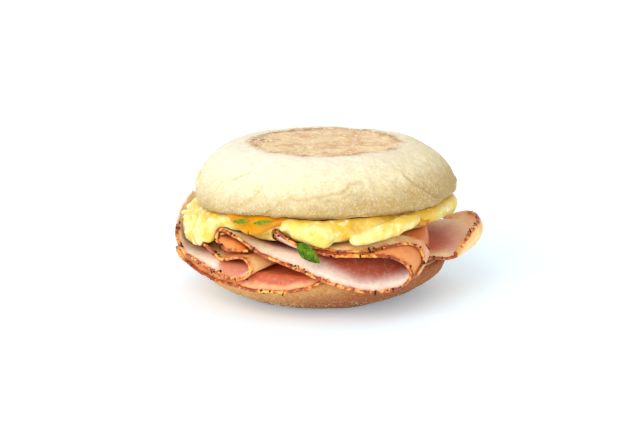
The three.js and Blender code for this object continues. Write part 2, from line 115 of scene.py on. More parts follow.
# A smooth curve through points along the first axis, with the same number of steps between each two.
def throughPoints(points, steps):
    points = np.asarray(points, float)
    ends = [2 * points[:1] - points[1:2], 2 * points[-1:] - points[-2:-1]]
    padded = np.concatenate([ends[0], points, ends[1]])
    gaps = np.sqrt(np.maximum(np.linalg.norm(np.diff(padded, axis=0), axis=-1), 1e-6))[..., None]
    p0, p1, p2, p3 = padded[:-3], padded[1:-2], padded[2:-1], padded[3:]
    d0, d1, d2 = gaps[:-2], gaps[1:-1], gaps[2:]
    leave = ((p1 - p0) / d0 - (p2 - p0) / (d0 + d1) + (p2 - p1) / d1) * d1
    arrive = ((p2 - p1) / d1 - (p3 - p1) / (d1 + d2) + (p3 - p2) / d2) * d1
    pieces = []
    for t in np.arange(steps) / steps:
        cubic = (2 * p1 - 2 * p2 + leave + arrive) * t**3 + (3 * p2 - 3 * p1 - 2 * leave - arrive) * t**2
        pieces.append(cubic + leave * t + p1)
    curve = np.stack(pieces, 1).reshape(-1, *points.shape[1:])
    return np.concatenate([curve, points[-1:]])


def addObject(name, data):
    made = bpy.data.objects.new(name, data)
    bpy.context.scene.collection.objects.link(made)
    return made


# A number for each point, which a material or a node tree can read by its label.
def addReading(mesh, label, values):
    layer = mesh.attributes.new(label, "FLOAT", "POINT")
    layer.data.foreach_set("value", np.asarray(values).astype(np.float32))


def makePiece(name, points, quads=(), triangles=(), readings=None):
    quads = np.asarray(quads, int).reshape(-1, 4)
    triangles = np.asarray(triangles, int).reshape(-1, 3)
    used, renamed = np.unique(np.concatenate([quads.ravel(), triangles.ravel()]), return_inverse=True)
    mesh = bpy.data.meshes.new(name)
    mesh.vertices.add(len(used))
    mesh.vertices.foreach_set("co", (np.asarray(points)[used] * mm).astype(np.float32).ravel())
    mesh.loops.add(len(renamed))
    mesh.loops.foreach_set("vertex_index", renamed.astype(np.int32).ravel())
    sizes = np.concatenate([np.full(len(quads), 4), np.full(len(triangles), 3)])
    mesh.polygons.add(len(sizes))
    mesh.polygons.foreach_set("loop_start", (np.cumsum(sizes) - sizes).astype(np.int32))
    mesh.polygons.foreach_set("loop_total", sizes.astype(np.int32))
    mesh.polygons.foreach_set("use_smooth", np.ones(len(sizes), bool))
    mesh.update(calc_edges=True)
    mesh.validate()
    for label, values in (readings or {}).items():
        addReading(mesh, label, np.asarray(values)[used])
    return addObject(name, mesh)


def makeSheet(name, sheet, points, readings=None):
    return makePiece(name, points, sheet["quads"], sheet["triangles"], readings)


def meshVectors(piece, label):
    flat = np.empty(len(piece.data.vertices) * 3, np.float32)
    piece.data.vertices.foreach_get(label, flat)
    return flat.reshape(-1, 3).astype(float)


def meshPoints(piece):
    return meshVectors(piece, "co") / mm


def moveMesh(piece, points):
    piece.data.vertices.foreach_set("co", (points * mm).astype(np.float32).ravel())
    piece.data.update()


def modify(piece, name, kind, **settings):
    modifier = piece.modifiers.new(name, kind)
    for key, value in settings.items():
        setattr(modifier, key, value)
    return modifier


# The object as its modifiers leave it, as a new plain mesh; the first object goes.
def settle(piece, name):
    graph = bpy.context.evaluated_depsgraph_get()
    mesh = bpy.data.meshes.new_from_object(piece.evaluated_get(graph), depsgraph=graph)
    mesh.name = name
    bpy.data.objects.remove(piece)
    return addObject(name, mesh)


def finishPiece(piece, finish, slot, *nodes):
    piece.data.materials.clear()
    piece.data.materials.append(finish)
    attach(piece, body)
    if nodes:
        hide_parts(*nodes)
    print("piece", piece.name, len(piece.data.polygons), "faces")


def gridNormals(grid, wrap=False):
    along = np.roll(grid, -1, 1) - np.roll(grid, 1, 1) if wrap else np.gradient(grid, axis=1)
    normals = np.cross(along, np.gradient(grid, axis=0))
    return normals / np.maximum(np.linalg.norm(normals, axis=2, keepdims=True), 1e-9)


def gridQuads(rows, columns, wrap=False):
    index = np.arange(rows * columns).reshape(rows, columns)
    if wrap:
        index = np.concatenate([index, index[:, :1]], 1)
    corners = [index[:-1, :-1], index[:-1, 1:], index[1:, 1:], index[1:, :-1]]
    return np.stack(corners, -1).reshape(-1, 4)


# A round body from rings of points, bottom to top, closed by a point at each end.
def ringBody(rings, low, high):
    rows, columns = rings.shape[:2]
    points = np.concatenate([rings.reshape(-1, 3), [low, high]])
    around = np.arange(columns)
    ahead = (around + 1) % columns
    bottom, top = rows * columns, rows * columns + 1
    last = (rows - 1) * columns
    caps = [np.stack([np.full(columns, bottom), ahead, around], -1)]
    caps.append(np.stack([last + around, last + ahead, np.full(columns, top)], -1))
    return points, gridQuads(rows, columns, True), np.concatenate(caps)


# How far each point lies from the first row, along its column.
def walked(grid):
    steps = np.linalg.norm(np.diff(grid, axis=0), axis=-1)
    return np.concatenate([np.zeros((1, steps.shape[1])), np.cumsum(steps, 0)])


def rimDistance(grid, wrap):
    fromFirst, fromLast = walked(grid), walked(grid[::-1])[::-1]
    if wrap:
        return fromLast
    sideways = grid.transpose(1, 0, 2)
    fromLeft, fromRight = walked(sideways).T, walked(sideways[::-1])[::-1].T
    return np.minimum(np.minimum(fromFirst, fromLast), np.minimum(fromLeft, fromRight))


# A thin closed sheet either side of a grid, with a rounded rim. Each point also gets its distance from the
# rim in mm, which side it is on (1 is the grid's front, 0 its back) and the direction that leads away from
# it. A wrapped grid has its middle in the first row. At the rim the sheet is thinner by the share called
# taper, over taperWidth mm.
def closedSheet(grid, thickness, wrap=False, bulge=0.6, rimRings=3, taper=1.0, taperWidth=2.6):
    rows, columns = grid.shape[:2]
    count = rows * columns
    normals = gridNormals(grid, wrap)
    if wrap:
        normals[0] = normals[1].mean(0) / np.linalg.norm(normals[1].mean(0))
    index = np.arange(count).reshape(rows, columns)
    quads = gridQuads(rows, columns, wrap)
    triangles = np.empty((0, 3), int)
    if wrap:
        loop = index[-1, ::-1]
        quads = quads[columns:]
        ahead = np.roll(index[1], -1)
        triangles = np.stack([np.zeros(columns, int), ahead, index[1]], -1)
    else:
        loop = np.concatenate([index[0, :], index[1:, -1], index[-1, -2::-1], index[-2:0:-1, 0]])
    flat, flatNormals = grid.reshape(-1, 3), normals.reshape(-1, 3)
    edge, edgeNormals = flat[loop], flatNormals[loop]
    outward = np.cross(np.roll(edge, -1, 0) - np.roll(edge, 1, 0), edgeNormals)
    outward /= np.maximum(np.linalg.norm(outward, axis=1, keepdims=True), 1e-9)
    distance = rimDistance(grid, wrap).ravel()
    full = (thickness / 2 * mix(taper, 1, smoothStep(distance, 0, taperWidth)))[:, None]
    half = thickness / 2 * taper
    points, away = [flat + flatNormals * full, flat - flatNormals * full], [flatNormals, -flatNormals]
    sides, rims = [np.ones(count), np.zeros(count)], [loop]
    for k in range(1, rimRings + 1):
        lean = math.pi * (0.5 - k / (rimRings + 1))
        leads = outward * math.cos(lean) + edgeNormals * math.sin(lean)
        points.append(edge + outward * half * bulge * math.cos(lean) + edgeNormals * half * math.sin(lean))
        away.append(leads)
        sides.append(np.full(len(loop), 0.5 + 0.5 * math.sin(lean)))
        rims.append(2 * count + (k - 1) * len(loop) + np.arange(len(loop)))
    rims.append(loop + count)
    faces = [quads, quads[:, ::-1] + count]
    for upper, lower in zip(rims, rims[1:]):
        faces.append(np.stack([upper, lower, np.roll(lower, -1), np.roll(upper, -1)], -1))
    if wrap:
        triangles = np.concatenate([triangles, triangles[:, ::-1] + count])
    return {
        "points": np.concatenate(points),
        "away": np.concatenate(away),
        "quads": np.concatenate(faces),
        "triangles": triangles,
        "rind": np.concatenate([distance, distance, np.zeros(len(loop) * rimRings)]),
        "side": np.concatenate(sides),
    }


class Wire:
    # A node's output; arithmetic on it adds Math nodes.
    def __init__(self, tree, socket):
        self.tree = tree
        self.socket = socket

    def math(self, operation, first, second):
        return self.tree.node("ShaderNodeMath", {"operation": operation}, {0: first, 1: second})

    def __add__(self, other):
        return self.math("ADD", self, other)

    def __sub__(self, other):
        return self.math("SUBTRACT", self, other)

    def __mul__(self, other):
        return self.math("MULTIPLY", self, other)

    def __pow__(self, other):
        return self.math("POWER", self, other)

    def __rsub__(self, other):
        return self.math("SUBTRACT", other, self)

    __radd__ = __add__
    __rmul__ = __mul__

    def largest(self, other):
        return self.math("MAXIMUM", self, other)

    def rise(self, low, high):
        limits = {"Value": self, "From Min": low, "From Max": high}
        return self.tree.node("ShaderNodeMapRange", {"interpolation_type": "SMOOTHSTEP"}, limits)

    def fall(self, low, high):
        return 1 - self.rise(low, high)


class Tree:
    def __init__(self, tree):
        self.tree = tree

    def node(self, kind, settings=None, inputs=None, output=0):
        made = self.tree.nodes.new(kind)
        for key, value in (settings or {}).items():
            setattr(made, key, value)
        for key, value in (inputs or {}).items():
            if isinstance(value, Wire):
                self.tree.links.new(value.socket, made.inputs[key])
            else:
                made.inputs[key].default_value = value
        return Wire(self, made.outputs[output])


def paint(red, green, blue):
    def linear(value):
        value /= 255
        return value / 12.92 if value <= 0.04045 else ((value + 0.055) / 1.055) ** 2.4

    return (linear(red), linear(green), linear(blue), 1.0)


class Finish(Tree):
    # A material. Its patterns are sized in mm, on Object coordinates.
    def __init__(self, name, values):
        self.material = bpy.data.materials.new(name)
        self.material.use_nodes = True
        super().__init__(self.material.node_tree)
        self.shader = self.tree.nodes["Principled BSDF"]
        for label, value in values.items():
            self.shader.inputs[label].default_value = value
        place = self.node("ShaderNodeTexCoord", output="Object")
        self.place = self.node("ShaderNodeVectorMath", {"operation": "SCALE"}, {0: place, "Scale": 1 / mm})

    def axes(self):
        return [self.node("ShaderNodeSeparateXYZ", inputs={0: self.place}, output=k) for k in range(3)]

    def pattern(self, seed):
        inputs = {0: self.place, 1: (13.7 * seed, -7.9 * seed, 4.3 * seed)}
        return self.node("ShaderNodeVectorMath", {"operation": "ADD"}, inputs)

    def noise(self, size, detail=2, rough=0.5, seed=0, twist=0):
        inputs = {"Vector": self.pattern(seed), "Scale": 1 / size, "Detail": detail}
        inputs |= {"Roughness": rough, "Distortion": twist}
        return self.node("ShaderNodeTexNoise", inputs=inputs)

    def cells(self, size, seed):
        inputs = {"Vector": self.pattern(seed), "Scale": 1 / size}
        return self.node("ShaderNodeTexVoronoi", inputs=inputs)

    def read(self, label):
        return self.node("ShaderNodeAttribute", {"attribute_name": label}, output="Fac")

    # How near the surface is to a place on the piece: 1 there, 0 beyond reach.
    def near(self, point, reach):
        inputs = {0: self.place, 1: point}
        away = self.node("ShaderNodeVectorMath", {"operation": "DISTANCE"}, inputs, "Value")
        return away.fall(0.4 * reach, reach)

    def blend(self, share, first, second):
        settings = {"data_type": "RGBA", "clamp_factor": True}
        return self.node("ShaderNodeMix", settings, {0: share, 6: first, 7: second}, 2)

    # Lays colours over a first one, each by its own share.
    def layers(self, colour, *coats):
        for share, over in coats:
            colour = self.blend(share, colour, over)
        return colour

    # Lets light in under the surface: how much, how far red, green and blue go, and how deep in mm.
    def letLightIn(self, weight, reach, depth):
        for label, value in {"Weight": weight, "Radius": reach, "Scale": depth * mm}.items():
            self.shader.inputs["Subsurface " + label].default_value = value

    # Sets what varies over the surface; relief is in mm.
    def dress(self, colour, roughness=None, relief=None, coat=None):
        varied = {"Base Color": colour, "Roughness": roughness, "Coat Weight": coat}
        if relief:
            bump = {"Distance": mm, "Height": relief}
            varied["Normal"] = self.node("ShaderNodeBump", inputs=bump, output="Normal")
        for label, value in varied.items():
            if value:
                self.tree.links.new(value.socket, self.shader.inputs[label])
        return self.material


# Grains strewn over pieces. The host's "scatter" reading says where they lie: the share of the full density
# at each point.
def scatterTree():
    group = bpy.data.node_groups.new("scatterGrains", "GeometryNodeTree")
    face = group.interface
    kinds = {
        "Geometry": "Geometry",
        "Density": "Float",
        "Sharpness": "Float",
        "Smallest": "Vector",
        "Largest": "Vector",
        "Seed": "Int",
        "Finish": "Material",
    }
    for label, kind in kinds.items():
        face.new_socket(label, in_out="INPUT", socket_type="NodeSocket" + kind)
    face.new_socket("Geometry", in_out="OUTPUT", socket_type="NodeSocketGeometry")
    tree = Tree(group)
    given = group.nodes.new("NodeGroupInput")
    value = {socket.name: Wire(tree, socket) for socket in given.outputs if socket.name}
    share = tree.node("GeometryNodeInputNamedAttribute", {"data_type": "FLOAT"}, {"Name": "scatter"})
    spread = {"Mesh": value["Geometry"], "Density": value["Density"] * share, "Seed": value["Seed"]}
    points = tree.node("GeometryNodeDistributePointsOnFaces", {"distribute_method": "RANDOM"}, spread)
    vectors = {"data_type": "FLOAT_VECTOR"}
    sizes = {0: value["Smallest"], 1: value["Largest"], "Seed": 3}
    size = tree.node("FunctionNodeRandomValue", vectors, sizes)
    turn = tree.node("FunctionNodeRandomValue", vectors, {0: (0, 0, 0), 1: (6.28, 6.28, 6.28), "Seed": 8})
    grain = tree.node("GeometryNodeMeshIcoSphere", inputs={"Radius": 1.0, "Subdivisions": 1})
    laid = {"Points": points, "Instance": grain, "Rotation": turn, "Scale": size}
    grains = tree.node("GeometryNodeInstanceOnPoints", inputs=laid)
    real = tree.node("GeometryNodeRealizeInstances", inputs={0: grains})
    rough = tree.node("ShaderNodeTexNoise", inputs={"Scale": 2600.0, "Detail": 1.0}, output="Color")
    centred = tree.node("ShaderNodeVectorMath", {"operation": "SUBTRACT"}, {0: rough, 1: (0.5, 0.5, 0.5)})
    pushed = {0: centred, "Scale": value["Sharpness"]}
    shift = tree.node("ShaderNodeVectorMath", {"operation": "SCALE"}, pushed)
    shaped = tree.node("GeometryNodeSetPosition", inputs={"Geometry": real, "Offset": shift})
    painted = tree.node("GeometryNodeSetMaterial", inputs={"Geometry": shaped, "Material": value["Finish"]})
    end = group.nodes.new("NodeGroupOutput")
    group.links.new(painted.socket, end.inputs[0])
    return group


def scatter(name, hosts, settings, finish, slot, group):
    meshes = []
    for host, share in hosts:
        copy = host.data.copy()
        addReading(copy, "scatter", share)
        meshes.append(addObject("bed", copy))
    bed = meshes[0]
    if len(meshes) > 1:
        with bpy.context.temp_override(active_object=bed, selected_editable_objects=meshes):
            bpy.ops.object.join()
    modifier = modify(bed, "grains", "NODES", node_group=group)
    values = {
        "Density": settings["perSquareCm"] * 1e4,
        "Sharpness": settings["ragged"] * mm,
        "Smallest": [size * mm for size in settings["smallest"]],
        "Largest": [size * mm for size in settings["largest"]],
        "Seed": settings["seed"],
        "Finish": finish,
    }
    for item in group.interface.items_tree:
        if item.in_out == "INPUT" and item.name in values:
            modifier[item.identifier] = values[item.name]
    grains = settle(bed, name)
    grains.data.shade_flat()
    finishPiece(grains, finish, slot)


view = {
    "distance": 700,
    "elevation": 13,
    "aimHeight": 28.7,
    "mmPerPixel": 0.3664,
    "imageWidth": 640,
    "sensor": 36,
}


# Places a thing so many degrees to the right of the photo's side and above the floor, and turns it to look
# at the point.
def lookFrom(thing, side, rise, point, distance):
    side, rise = math.radians(side), math.radians(rise)
    away = Vector((math.sin(side) * math.cos(rise), -math.cos(side) * math.cos(rise), math.sin(rise)))
    thing.location = (Vector(point) + away * distance) * mm
    thing.rotation_euler = (-away).to_track_quat("-Z", "Y").to_euler()


def placeCamera():
    data = bpy.data.cameras.new("camera")
    data.sensor_width = view["sensor"]
    data.lens = view["sensor"] * view["distance"] / (view["imageWidth"] * view["mmPerPixel"])
    camera = addObject("camera", data)
    lookFrom(camera, 0, view["elevation"], (0, 0, view["aimHeight"]), view["distance"])
    bpy.context.scene.camera = camera


light = {
    "sky": 0.74,
    "sunStrength": 2.0,
    "sunFrom": (-27, 26),  # degrees to the right of the camera, and above the floor
    "sunDistance": 1000,
    "sunAngle": 62,
    "floorWidth": 60.0,  # in metres
    "floorDrop": 0.05,
    "floorGlow": (0.15, 0.23, 0.27, 1),  # keeps the shadow on the floor light and neutral
}


def placeSun():
    data = bpy.data.lights.new("sun", "SUN")
    data.energy = light["sunStrength"]
    data.angle = math.radians(light["sunAngle"])
    lookFrom(addObject("sun", data), *light["sunFrom"], (0, 0, 0), light["sunDistance"])


def placeStage():
    half = light["floorWidth"] / 2 / mm
    corners = [(x * half, y * half, -light["floorDrop"]) for x, y in ((-1, -1), (1, -1), (1, 1), (-1, 1))]
    floor = makePiece("floor", corners, [(0, 1, 2, 3)])
    finish = Finish("floorPaint", {"Roughness": 0.6, "Specular IOR Level": 0.2})
    finish.shader.inputs["Emission Color"].default_value = light["floorGlow"]
    finish.shader.inputs["Emission Strength"].default_value = 1.0
    colour = finish.blend(finish.noise(300, 2), paint(243, 249, 253), paint(246, 251, 254))
    floor.data.materials.append(finish.dress(colour))
    world = bpy.data.worlds.new("studio")
    world.use_nodes = True
    background = world.node_tree.nodes["Background"].inputs
    background["Color"].default_value = (1, 1, 1, 1)
    background["Strength"].default_value = light["sky"]
    bpy.context.scene.world = world
    placeSun()
    bpy.context.scene.view_settings.view_transform = "Standard"


placeCamera()
placeStage()
print("camera, floor and light are set")

heel = {
    "radius": 46,
    "shift": 0,
    "flatRadius": 27,
    "height": highest("heel"),
    "shoulder": 13,
    "slope": 1.8,
    "lipWidth": 2.6,
    "columns": 440,
    "uneven": 0.008,
    "unevenFrom": 27,
    "waveSeed": 1.7,
    "discRadius": 26,
    "shade": (3, 15),  # painted darker downwards between these heights: partly browner crust, partly painted shade
    "shadeLean": 0.24,
    "flour": 0.5,
}
crown = {
    "radius": 47.4,
    "shift": 1.8,
    "flatRadius": 29,
    "lip": 37,
    "top": highest("crown"),
    "bulge": 2.4,
    "slope": 1.12,
    "lipWidth": 4.4,
    "columns": 640,
    "uneven": 0.01,
    "unevenFrom": 17.4,
    "waveSeed": 0.6,
    "sag": 3.5,
    "sagAt": 201,  # degrees round from the right
    "sagWidth": 29,
    "creaseDepth": 0.8,
    "creaseWidth": 0.5,
    "ridge": 0.5,
    "discRadius": 28.6,
    # Below these heights the crust is painted darker: partly browner crust, partly painted shade.
    "shade": (38, 50),
    "shadeLean": 0.1,
    "flour": 0.1,
}
# Creases in the crown's skin, as degrees and height along each.
creases = [
    [(231, 40.6), (233.8, 42.1), (237, 43.7), (239.2, 45.8), (240.4, 47.5)],
    [(243.5, 37.4), (245.5, 38.6), (248.6, 41.3), (254.8, 44.4), (259.3, 43.9)]
    + [(265.6, 44.9), (272, 45.5), (278.7, 46.9)],
    [(278.7, 46.9), (282.3, 48.9), (287.4, 49.6)],
    [(311.5, 49), (314.4, 46.8), (318.9, 44), (323.4, 41.7), (329, 40.4)],
    [(222.5, 48.1), (226.1, 49), (230.4, 50.6)],
    [(272, 43.6), (278.5, 44.6), (281.8, 46.4)],
    [(38, 41), (44, 44), (52, 45.4), (60, 47.5)],
    [(88, 39.5), (96, 43), (104, 44), (110, 46.5)],
    [(140, 47), (147, 44.5), (156, 43.8)],
    [(2, 43), (9, 45.2), (18, 45)],
    [(170, 44.5), (178, 46), (186, 45.4)],
]


# Half of the muffin's outline as radius and rise, from its flat spot to its widest line.
def muffinSide(half, rise, steps):
    turn = np.linspace(0, math.pi / 2, steps + 1)
    radii = mix(half["flatRadius"], half["radius"], np.sin(turn) ** half["slope"])
    return radii, rise * (1 - np.cos(turn) ** 1.12)


def fullTurn(columns):
    return 2 * math.pi * np.arange(columns) / columns


# Turns an outline into rings that aren't quite round.
def breadRings(half, radius, height, drop=0):
    turn = fullTurn(half["columns"])
    grown = smoothStep(radius, half["unevenFrom"], half["radius"])[:, None]
    reach = radius[:, None] * (1 + half["uneven"] * wave(turn, half["waveSeed"])[None] * grown)
    shape = [half["shift"] + reach * np.cos(turn), reach * np.sin(turn), height[:, None] - drop]
    return np.stack(np.broadcast_arrays(*shape), -1)


# A reading of each ring or of each of its points, and one for the point that closes each end.
def ringReading(values, rings, low, high):
    return np.concatenate([np.broadcast_to(values, rings.shape[:2]).ravel(), [low, high]])


# How far each place lies from a line of degrees and heights, and on which side, in mm round the crown.
def lineDistance(degrees, height, line, radius):
    place = np.stack([np.radians(degrees) * radius, height], -1)
    nearest = np.full(height.shape, 1e3)
    line = [np.array([math.radians(a) * radius, z]) for a, z in line]
    for start, end in zip(line, line[1:]):
        run = end - start
        share = np.clip(((place - start) @ run) / (run @ run), 0, 1)[..., None]
        away = place - start - share * run
        distance = np.linalg.norm(away, axis=-1) * np.sign(run[0] * away[..., 1] - run[1] * away[..., 0])
        nearest = np.where(np.abs(distance) < np.abs(nearest), distance, nearest)
    return nearest


def crownPiece():
    quarter = np.linspace(0, math.pi / 2, 12)[:-1]
    radii, heights = muffinSide(crown, crown["top"] - crown["lip"] - crown["bulge"], 64)
    inner = np.linspace(1.2, crown["radius"] - crown["lipWidth"], 26)
    disc = np.linspace(crown["flatRadius"], 0.7, 44)[1:]
    lipRadii = inner[-1] + crown["lipWidth"] * np.sin(quarter)
    lipHeights = crown["lip"] + crown["bulge"] * (1 - np.cos(quarter))
    radius = np.concatenate([inner, lipRadii[1:], radii[::-1], disc])
    dome = 0.25 * (1 - (disc / crown["flatRadius"]) ** 2)
    above = crown["top"] - np.concatenate([heights[::-1], dome])
    height = np.concatenate([0 * inner + crown["lip"], lipHeights[1:], above])
    under = np.arange(len(radius)) < len(inner) + 3
    onDisc = np.arange(len(radius)) > len(radius) - len(disc) - 6
    sag = np.where(under, 0, 1 - smoothStep(height, crown["lip"], crown["top"] - 4))
    tucked = smoothStep(radius, crown["radius"] - 6, crown["radius"] - 3) * sag
    sag = np.where(radius > crown["radius"] - 3, sag, tucked)[:, None]
    degrees = np.degrees(fullTurn(crown["columns"]))[None]
    drop = sag * (crown["sag"] * bell(degrees - crown["sagAt"], crown["sagWidth"]))
    rings = breadRings(crown, radius, height, drop)
    normals = gridNormals(rings, True)
    side, discShare, crumb = (part.astype(float)[:, None] for part in (~under & ~onDisc, onDisc, under))
    relief = 0.5 * lumps(rings, 13, 1, 2) + 0.2 * lumps(rings, 4.2, 2, 2) * side
    relief += 0.09 * lumps(rings, 1.4, 3, 2)
    # Where the creases run; the finish paints shade along them.
    crack = np.zeros(relief.shape)
    ragged = 0.5 * lumps(rings, 2.4, 5)
    alongLip = degrees + 0 * height[:, None]
    wide = crown["creaseWidth"]
    for line in creases:
        away = lineDistance(alongLip, rings[..., 2] + drop, line, crown["radius"] * 0.93) + ragged
        cut = side * bell(away, wide)
        relief -= crown["creaseDepth"] * cut
        relief += side * crown["ridge"] * bell(away + 4 * wide, 3 * wide)
        crack = np.maximum(crack, cut)
    relief -= discShare * (0.22 * pits(rings, 2.3, 0.5, 4) + 0.12 * np.abs(lumps(rings, 1.1, 6)))
    relief -= crumb * (0.7 * pits(rings, 2.8, 0.5, 7) - 0.3)
    rings = rings + normals * relief[..., None]
    shell = ringBody(rings, [crown["shift"], 0, crown["lip"]], [crown["shift"], 0, crown["top"] - 0.3])
    readings = {"skin": ringReading(side + discShare, rings, 0, 1), "crack": ringReading(crack, rings, 0, 0)}
    return makePiece("crown_bread", *shell, readings)


def heelPiece():
    quarter = np.linspace(0, math.pi / 2, 12)[1:]
    radii, heights = muffinSide(heel, heel["shoulder"], 60)
    lipRadii = heel["radius"] - heel["lipWidth"] * (1 - np.cos(quarter))
    lipHeights = heel["shoulder"] + (heel["height"] - heel["shoulder"]) * np.sin(quarter)
    flat = np.linspace(0.7, heel["flatRadius"], 40)[:-1]
    inner = np.linspace(heel["radius"] - heel["lipWidth"], 0.9, 44)[1:]
    radius = np.concatenate([flat, radii, lipRadii, inner])
    height = np.concatenate([0 * flat, heights, lipHeights, 0 * inner + heel["height"]])
    onTop = np.arange(len(radius)) > len(radius) - len(inner) - 4
    onDisc = np.arange(len(radius)) < len(flat) + 2
    rings = breadRings(heel, radius, height)
    normals = gridNormals(rings, True)
    side, discShare, crumb = (part.astype(float)[:, None] for part in (~onTop & ~onDisc, onDisc, onTop))
    relief = 0.3 * lumps(rings, 11, 11, 2) + 0.13 * lumps(rings, 3.6, 12, 2)
    relief += 0.09 * lumps(rings, 1.3, 13, 2)
    relief = side * (relief - 0.15 * pits(rings, 3.1, 0.4, 14))
    relief -= crumb * (0.7 * pits(rings, 2.8, 0.5, 15) - 0.2)
    relief -= discShare * (0.15 * pits(rings, 2.6, 0.45, 16) + 0.06)
    rings = rings + normals * relief[..., None]
    rings[..., 2] = np.maximum(rings[..., 2], 0)
    shell = ringBody(rings, [0, 0, 0], [0, 0, heel["height"]])
    return makePiece("heel_bread", *shell, {"skin": ringReading(side + discShare, rings, 1, 0)})


crownColours = {
    "base": paint(242, 229, 190),
    "warm": paint(232, 213, 164),
    "shade": paint(190, 157, 96),
    "flour": paint(255, 252, 240),
    # crack is painted shade along the creases.
    "crack": paint(206, 174, 116),
}
heelColours = {
    "base": paint(214, 160, 92),
    "warm": paint(198, 132, 68),
    "shade": paint(160, 88, 42),
    "flour": paint(244, 222, 176),
}
discColours = {
    "pale": paint(254, 238, 202),
    "toast": paint(247, 217, 168),
    "brown": paint(224, 172, 118),
    "dark": paint(168, 112, 66),
}
crumbColours = (paint(250, 240, 210), paint(232, 206, 152))


# The crust of one half, with the griddled disc that faces up at discFace, or down where that is 0.
def breadFinish(name, half, discFace, colours):
    finish = Finish(name, {"Roughness": 0.72, "Specular IOR Level": 0.25})
    finish.letLightIn(0.08, (1.0, 0.7, 0.4), 1.5)
    x, y, z = finish.axes()
    reach = ((x - half["shift"]) ** 2 + y**2) ** 0.5
    blotch = finish.noise(11, 4, 0.6, 1)
    mottle = finish.noise(2.4, 4, 0.65, 2)
    dust = finish.noise(0.75, 3, 0.65, 3)
    # Low down and, by shadeLean, towards the right, away from the sun, the crust is painted in its shade
    # colour: partly browner crust and partly painted shade.
    low = (z + 9 * (blotch - 0.5) - half["shadeLean"] * (x - half["shift"])).fall(*half["shade"])
    floury = (x + 14 * (blotch - 0.5)).fall(-34, 4)
    # Between the bubbles it is painted in the shade colour too: painted shade in the small hollows.
    bubbles = finish.cells(1.25, 10)
    bubbly = (x + 30 * (blotch - 0.5)).rise(-6, 20) * low
    colour = finish.layers(
        colours["base"],
        ((blotch + 0.6 * mottle).rise(0.66, 0.98) * 0.8, colours["warm"]),
        (low * 0.95 + (mottle - 0.5) * 0.7, colours["shade"]),
        (dust.rise(0.53, 0.66) * (0.25 + half["flour"] * floury), colours["flour"]),
        (dust.fall(0.34, 0.44) * 0.3, colours["shade"]),
        (bubbles.rise(0.45, 0.8) * bubbly * 0.5, colours["shade"]),
    )
    onFace = z.fall(0.9, 2.2)
    if discFace > 0:
        onFace = z.rise(discFace - 3.2, discFace - 1.6)
        # Up high and towards the left, where the sun falls, the crown is painted whiter in the flour colour:
        # partly flour, partly painted light.
        flourAndPaintedLight = (z - 0.1 * x + 8 * (blotch - 0.5)).rise(47, 58) * 0.5
        # Along the creases the crown is painted darker: painted shade in the creases.
        paintedCreaseShade = finish.read("crack") ** 2 * 0.45
        colour = finish.layers(colour, (flourAndPaintedLight, colours["flour"]), (paintedCreaseShade, colours["crack"]))
    edge = half["discRadius"]
    ragged = reach + 7 * (finish.noise(6, 5, 0.7, 4) - 0.5) + 4 * (dust - 0.5)
    disc = ragged.fall(edge - 2.4, edge + 1.2) * onFace
    rim = reach.rise(edge - 9, edge - 1)
    patch = finish.noise(8, 5, 0.65, 5, twist=0.5)
    lace = finish.noise(1.7, 5, 0.75, 6)
    speck = finish.noise(0.62, 2, 0.6, 7)
    burnt = finish.near((-22, 4, discFace), 9).largest(rim * y.rise(6, 20) * 0.8)
    toasted = finish.layers(
        discColours["toast"],
        ((patch + 0.4 * lace).rise(0.58, 0.82), discColours["brown"]),
        ((patch + 0.3 * rim + 0.3 * lace).rise(0.8, 1.02) * 0.75, discColours["dark"]),
        (lace.rise(0.48, 0.62) * 0.85, discColours["pale"]),
        (lace.fall(0.34, 0.46) * 0.6, discColours["brown"]),
        (speck.rise(0.58, 0.7) * 0.4, discColours["dark"]),
        (burnt * lace.fall(0.44, 0.56) * 0.8, discColours["dark"]),
    )
    colour = finish.blend(disc * 0.95, colour, toasted)
    crumb = finish.blend(finish.noise(1.2, 3, 0.6, 8), *crumbColours)
    colour = finish.blend(finish.read("skin"), crumb, colour)
    relief = 0.14 * finish.noise(0.6, 3, 0.6, 9) + 0.26 * mottle
    relief = relief + 0.16 * disc * lace - 0.3 * bubbles * bubbly
    return finish.dress(colour, 0.62 + 0.2 * mottle, relief)


crownBread = crownPiece()
finishPiece(crownBread, breadFinish("crownCrust", crown, crown["top"], crownColours), "bread", "crown")
heelBread = heelPiece()
finishPiece(heelBread, breadFinish("heelCrust", heel, 0, heelColours), "bread", "heel")
print("muffin is baked")

ham = {
    "thickness": 1.5,
    "pitch": 1.85,  # from one layer of the stack to the next
    "gap": 0.32,
    "firstRow": 0.3,
    "rowGrowth": 1.16,
    "halfWidth": 47,
    "edgeRipple": 0.32,
    "rippleWidth": 5,
    "freeBeyond": (38, 46),  # how far out the slices' edges are free to ripple
    "rimTaper": 0.66,
    "rindRelief": 0.16,
    "rindWidth": 1.1,
    "skinRelief": 0.05,
    "bareLeft": ((23, 27), (36, 40)),  # the edge turns bare between these heights, and this far left
    "bareRight": ((42, 46), (12, 17)),  # and this far right and back
}


def level(n):
    return heel["height"] + ham["gap"] + ham["thickness"] / 2 + n * ham["pitch"]


# Shares of a slice's width, crowded towards both rinds.
def rowShares():
    steps = [0.0]
    while steps[-1] < ham["halfWidth"]:
        steps.append(steps[-1] + ham["firstRow"] * ham["rowGrowth"] ** (len(steps) - 1))
    half = np.array(steps[:-1] + [ham["halfWidth"]]) / ham["halfWidth"] / 2
    return np.concatenate([half, 1 - half[-2::-1]])


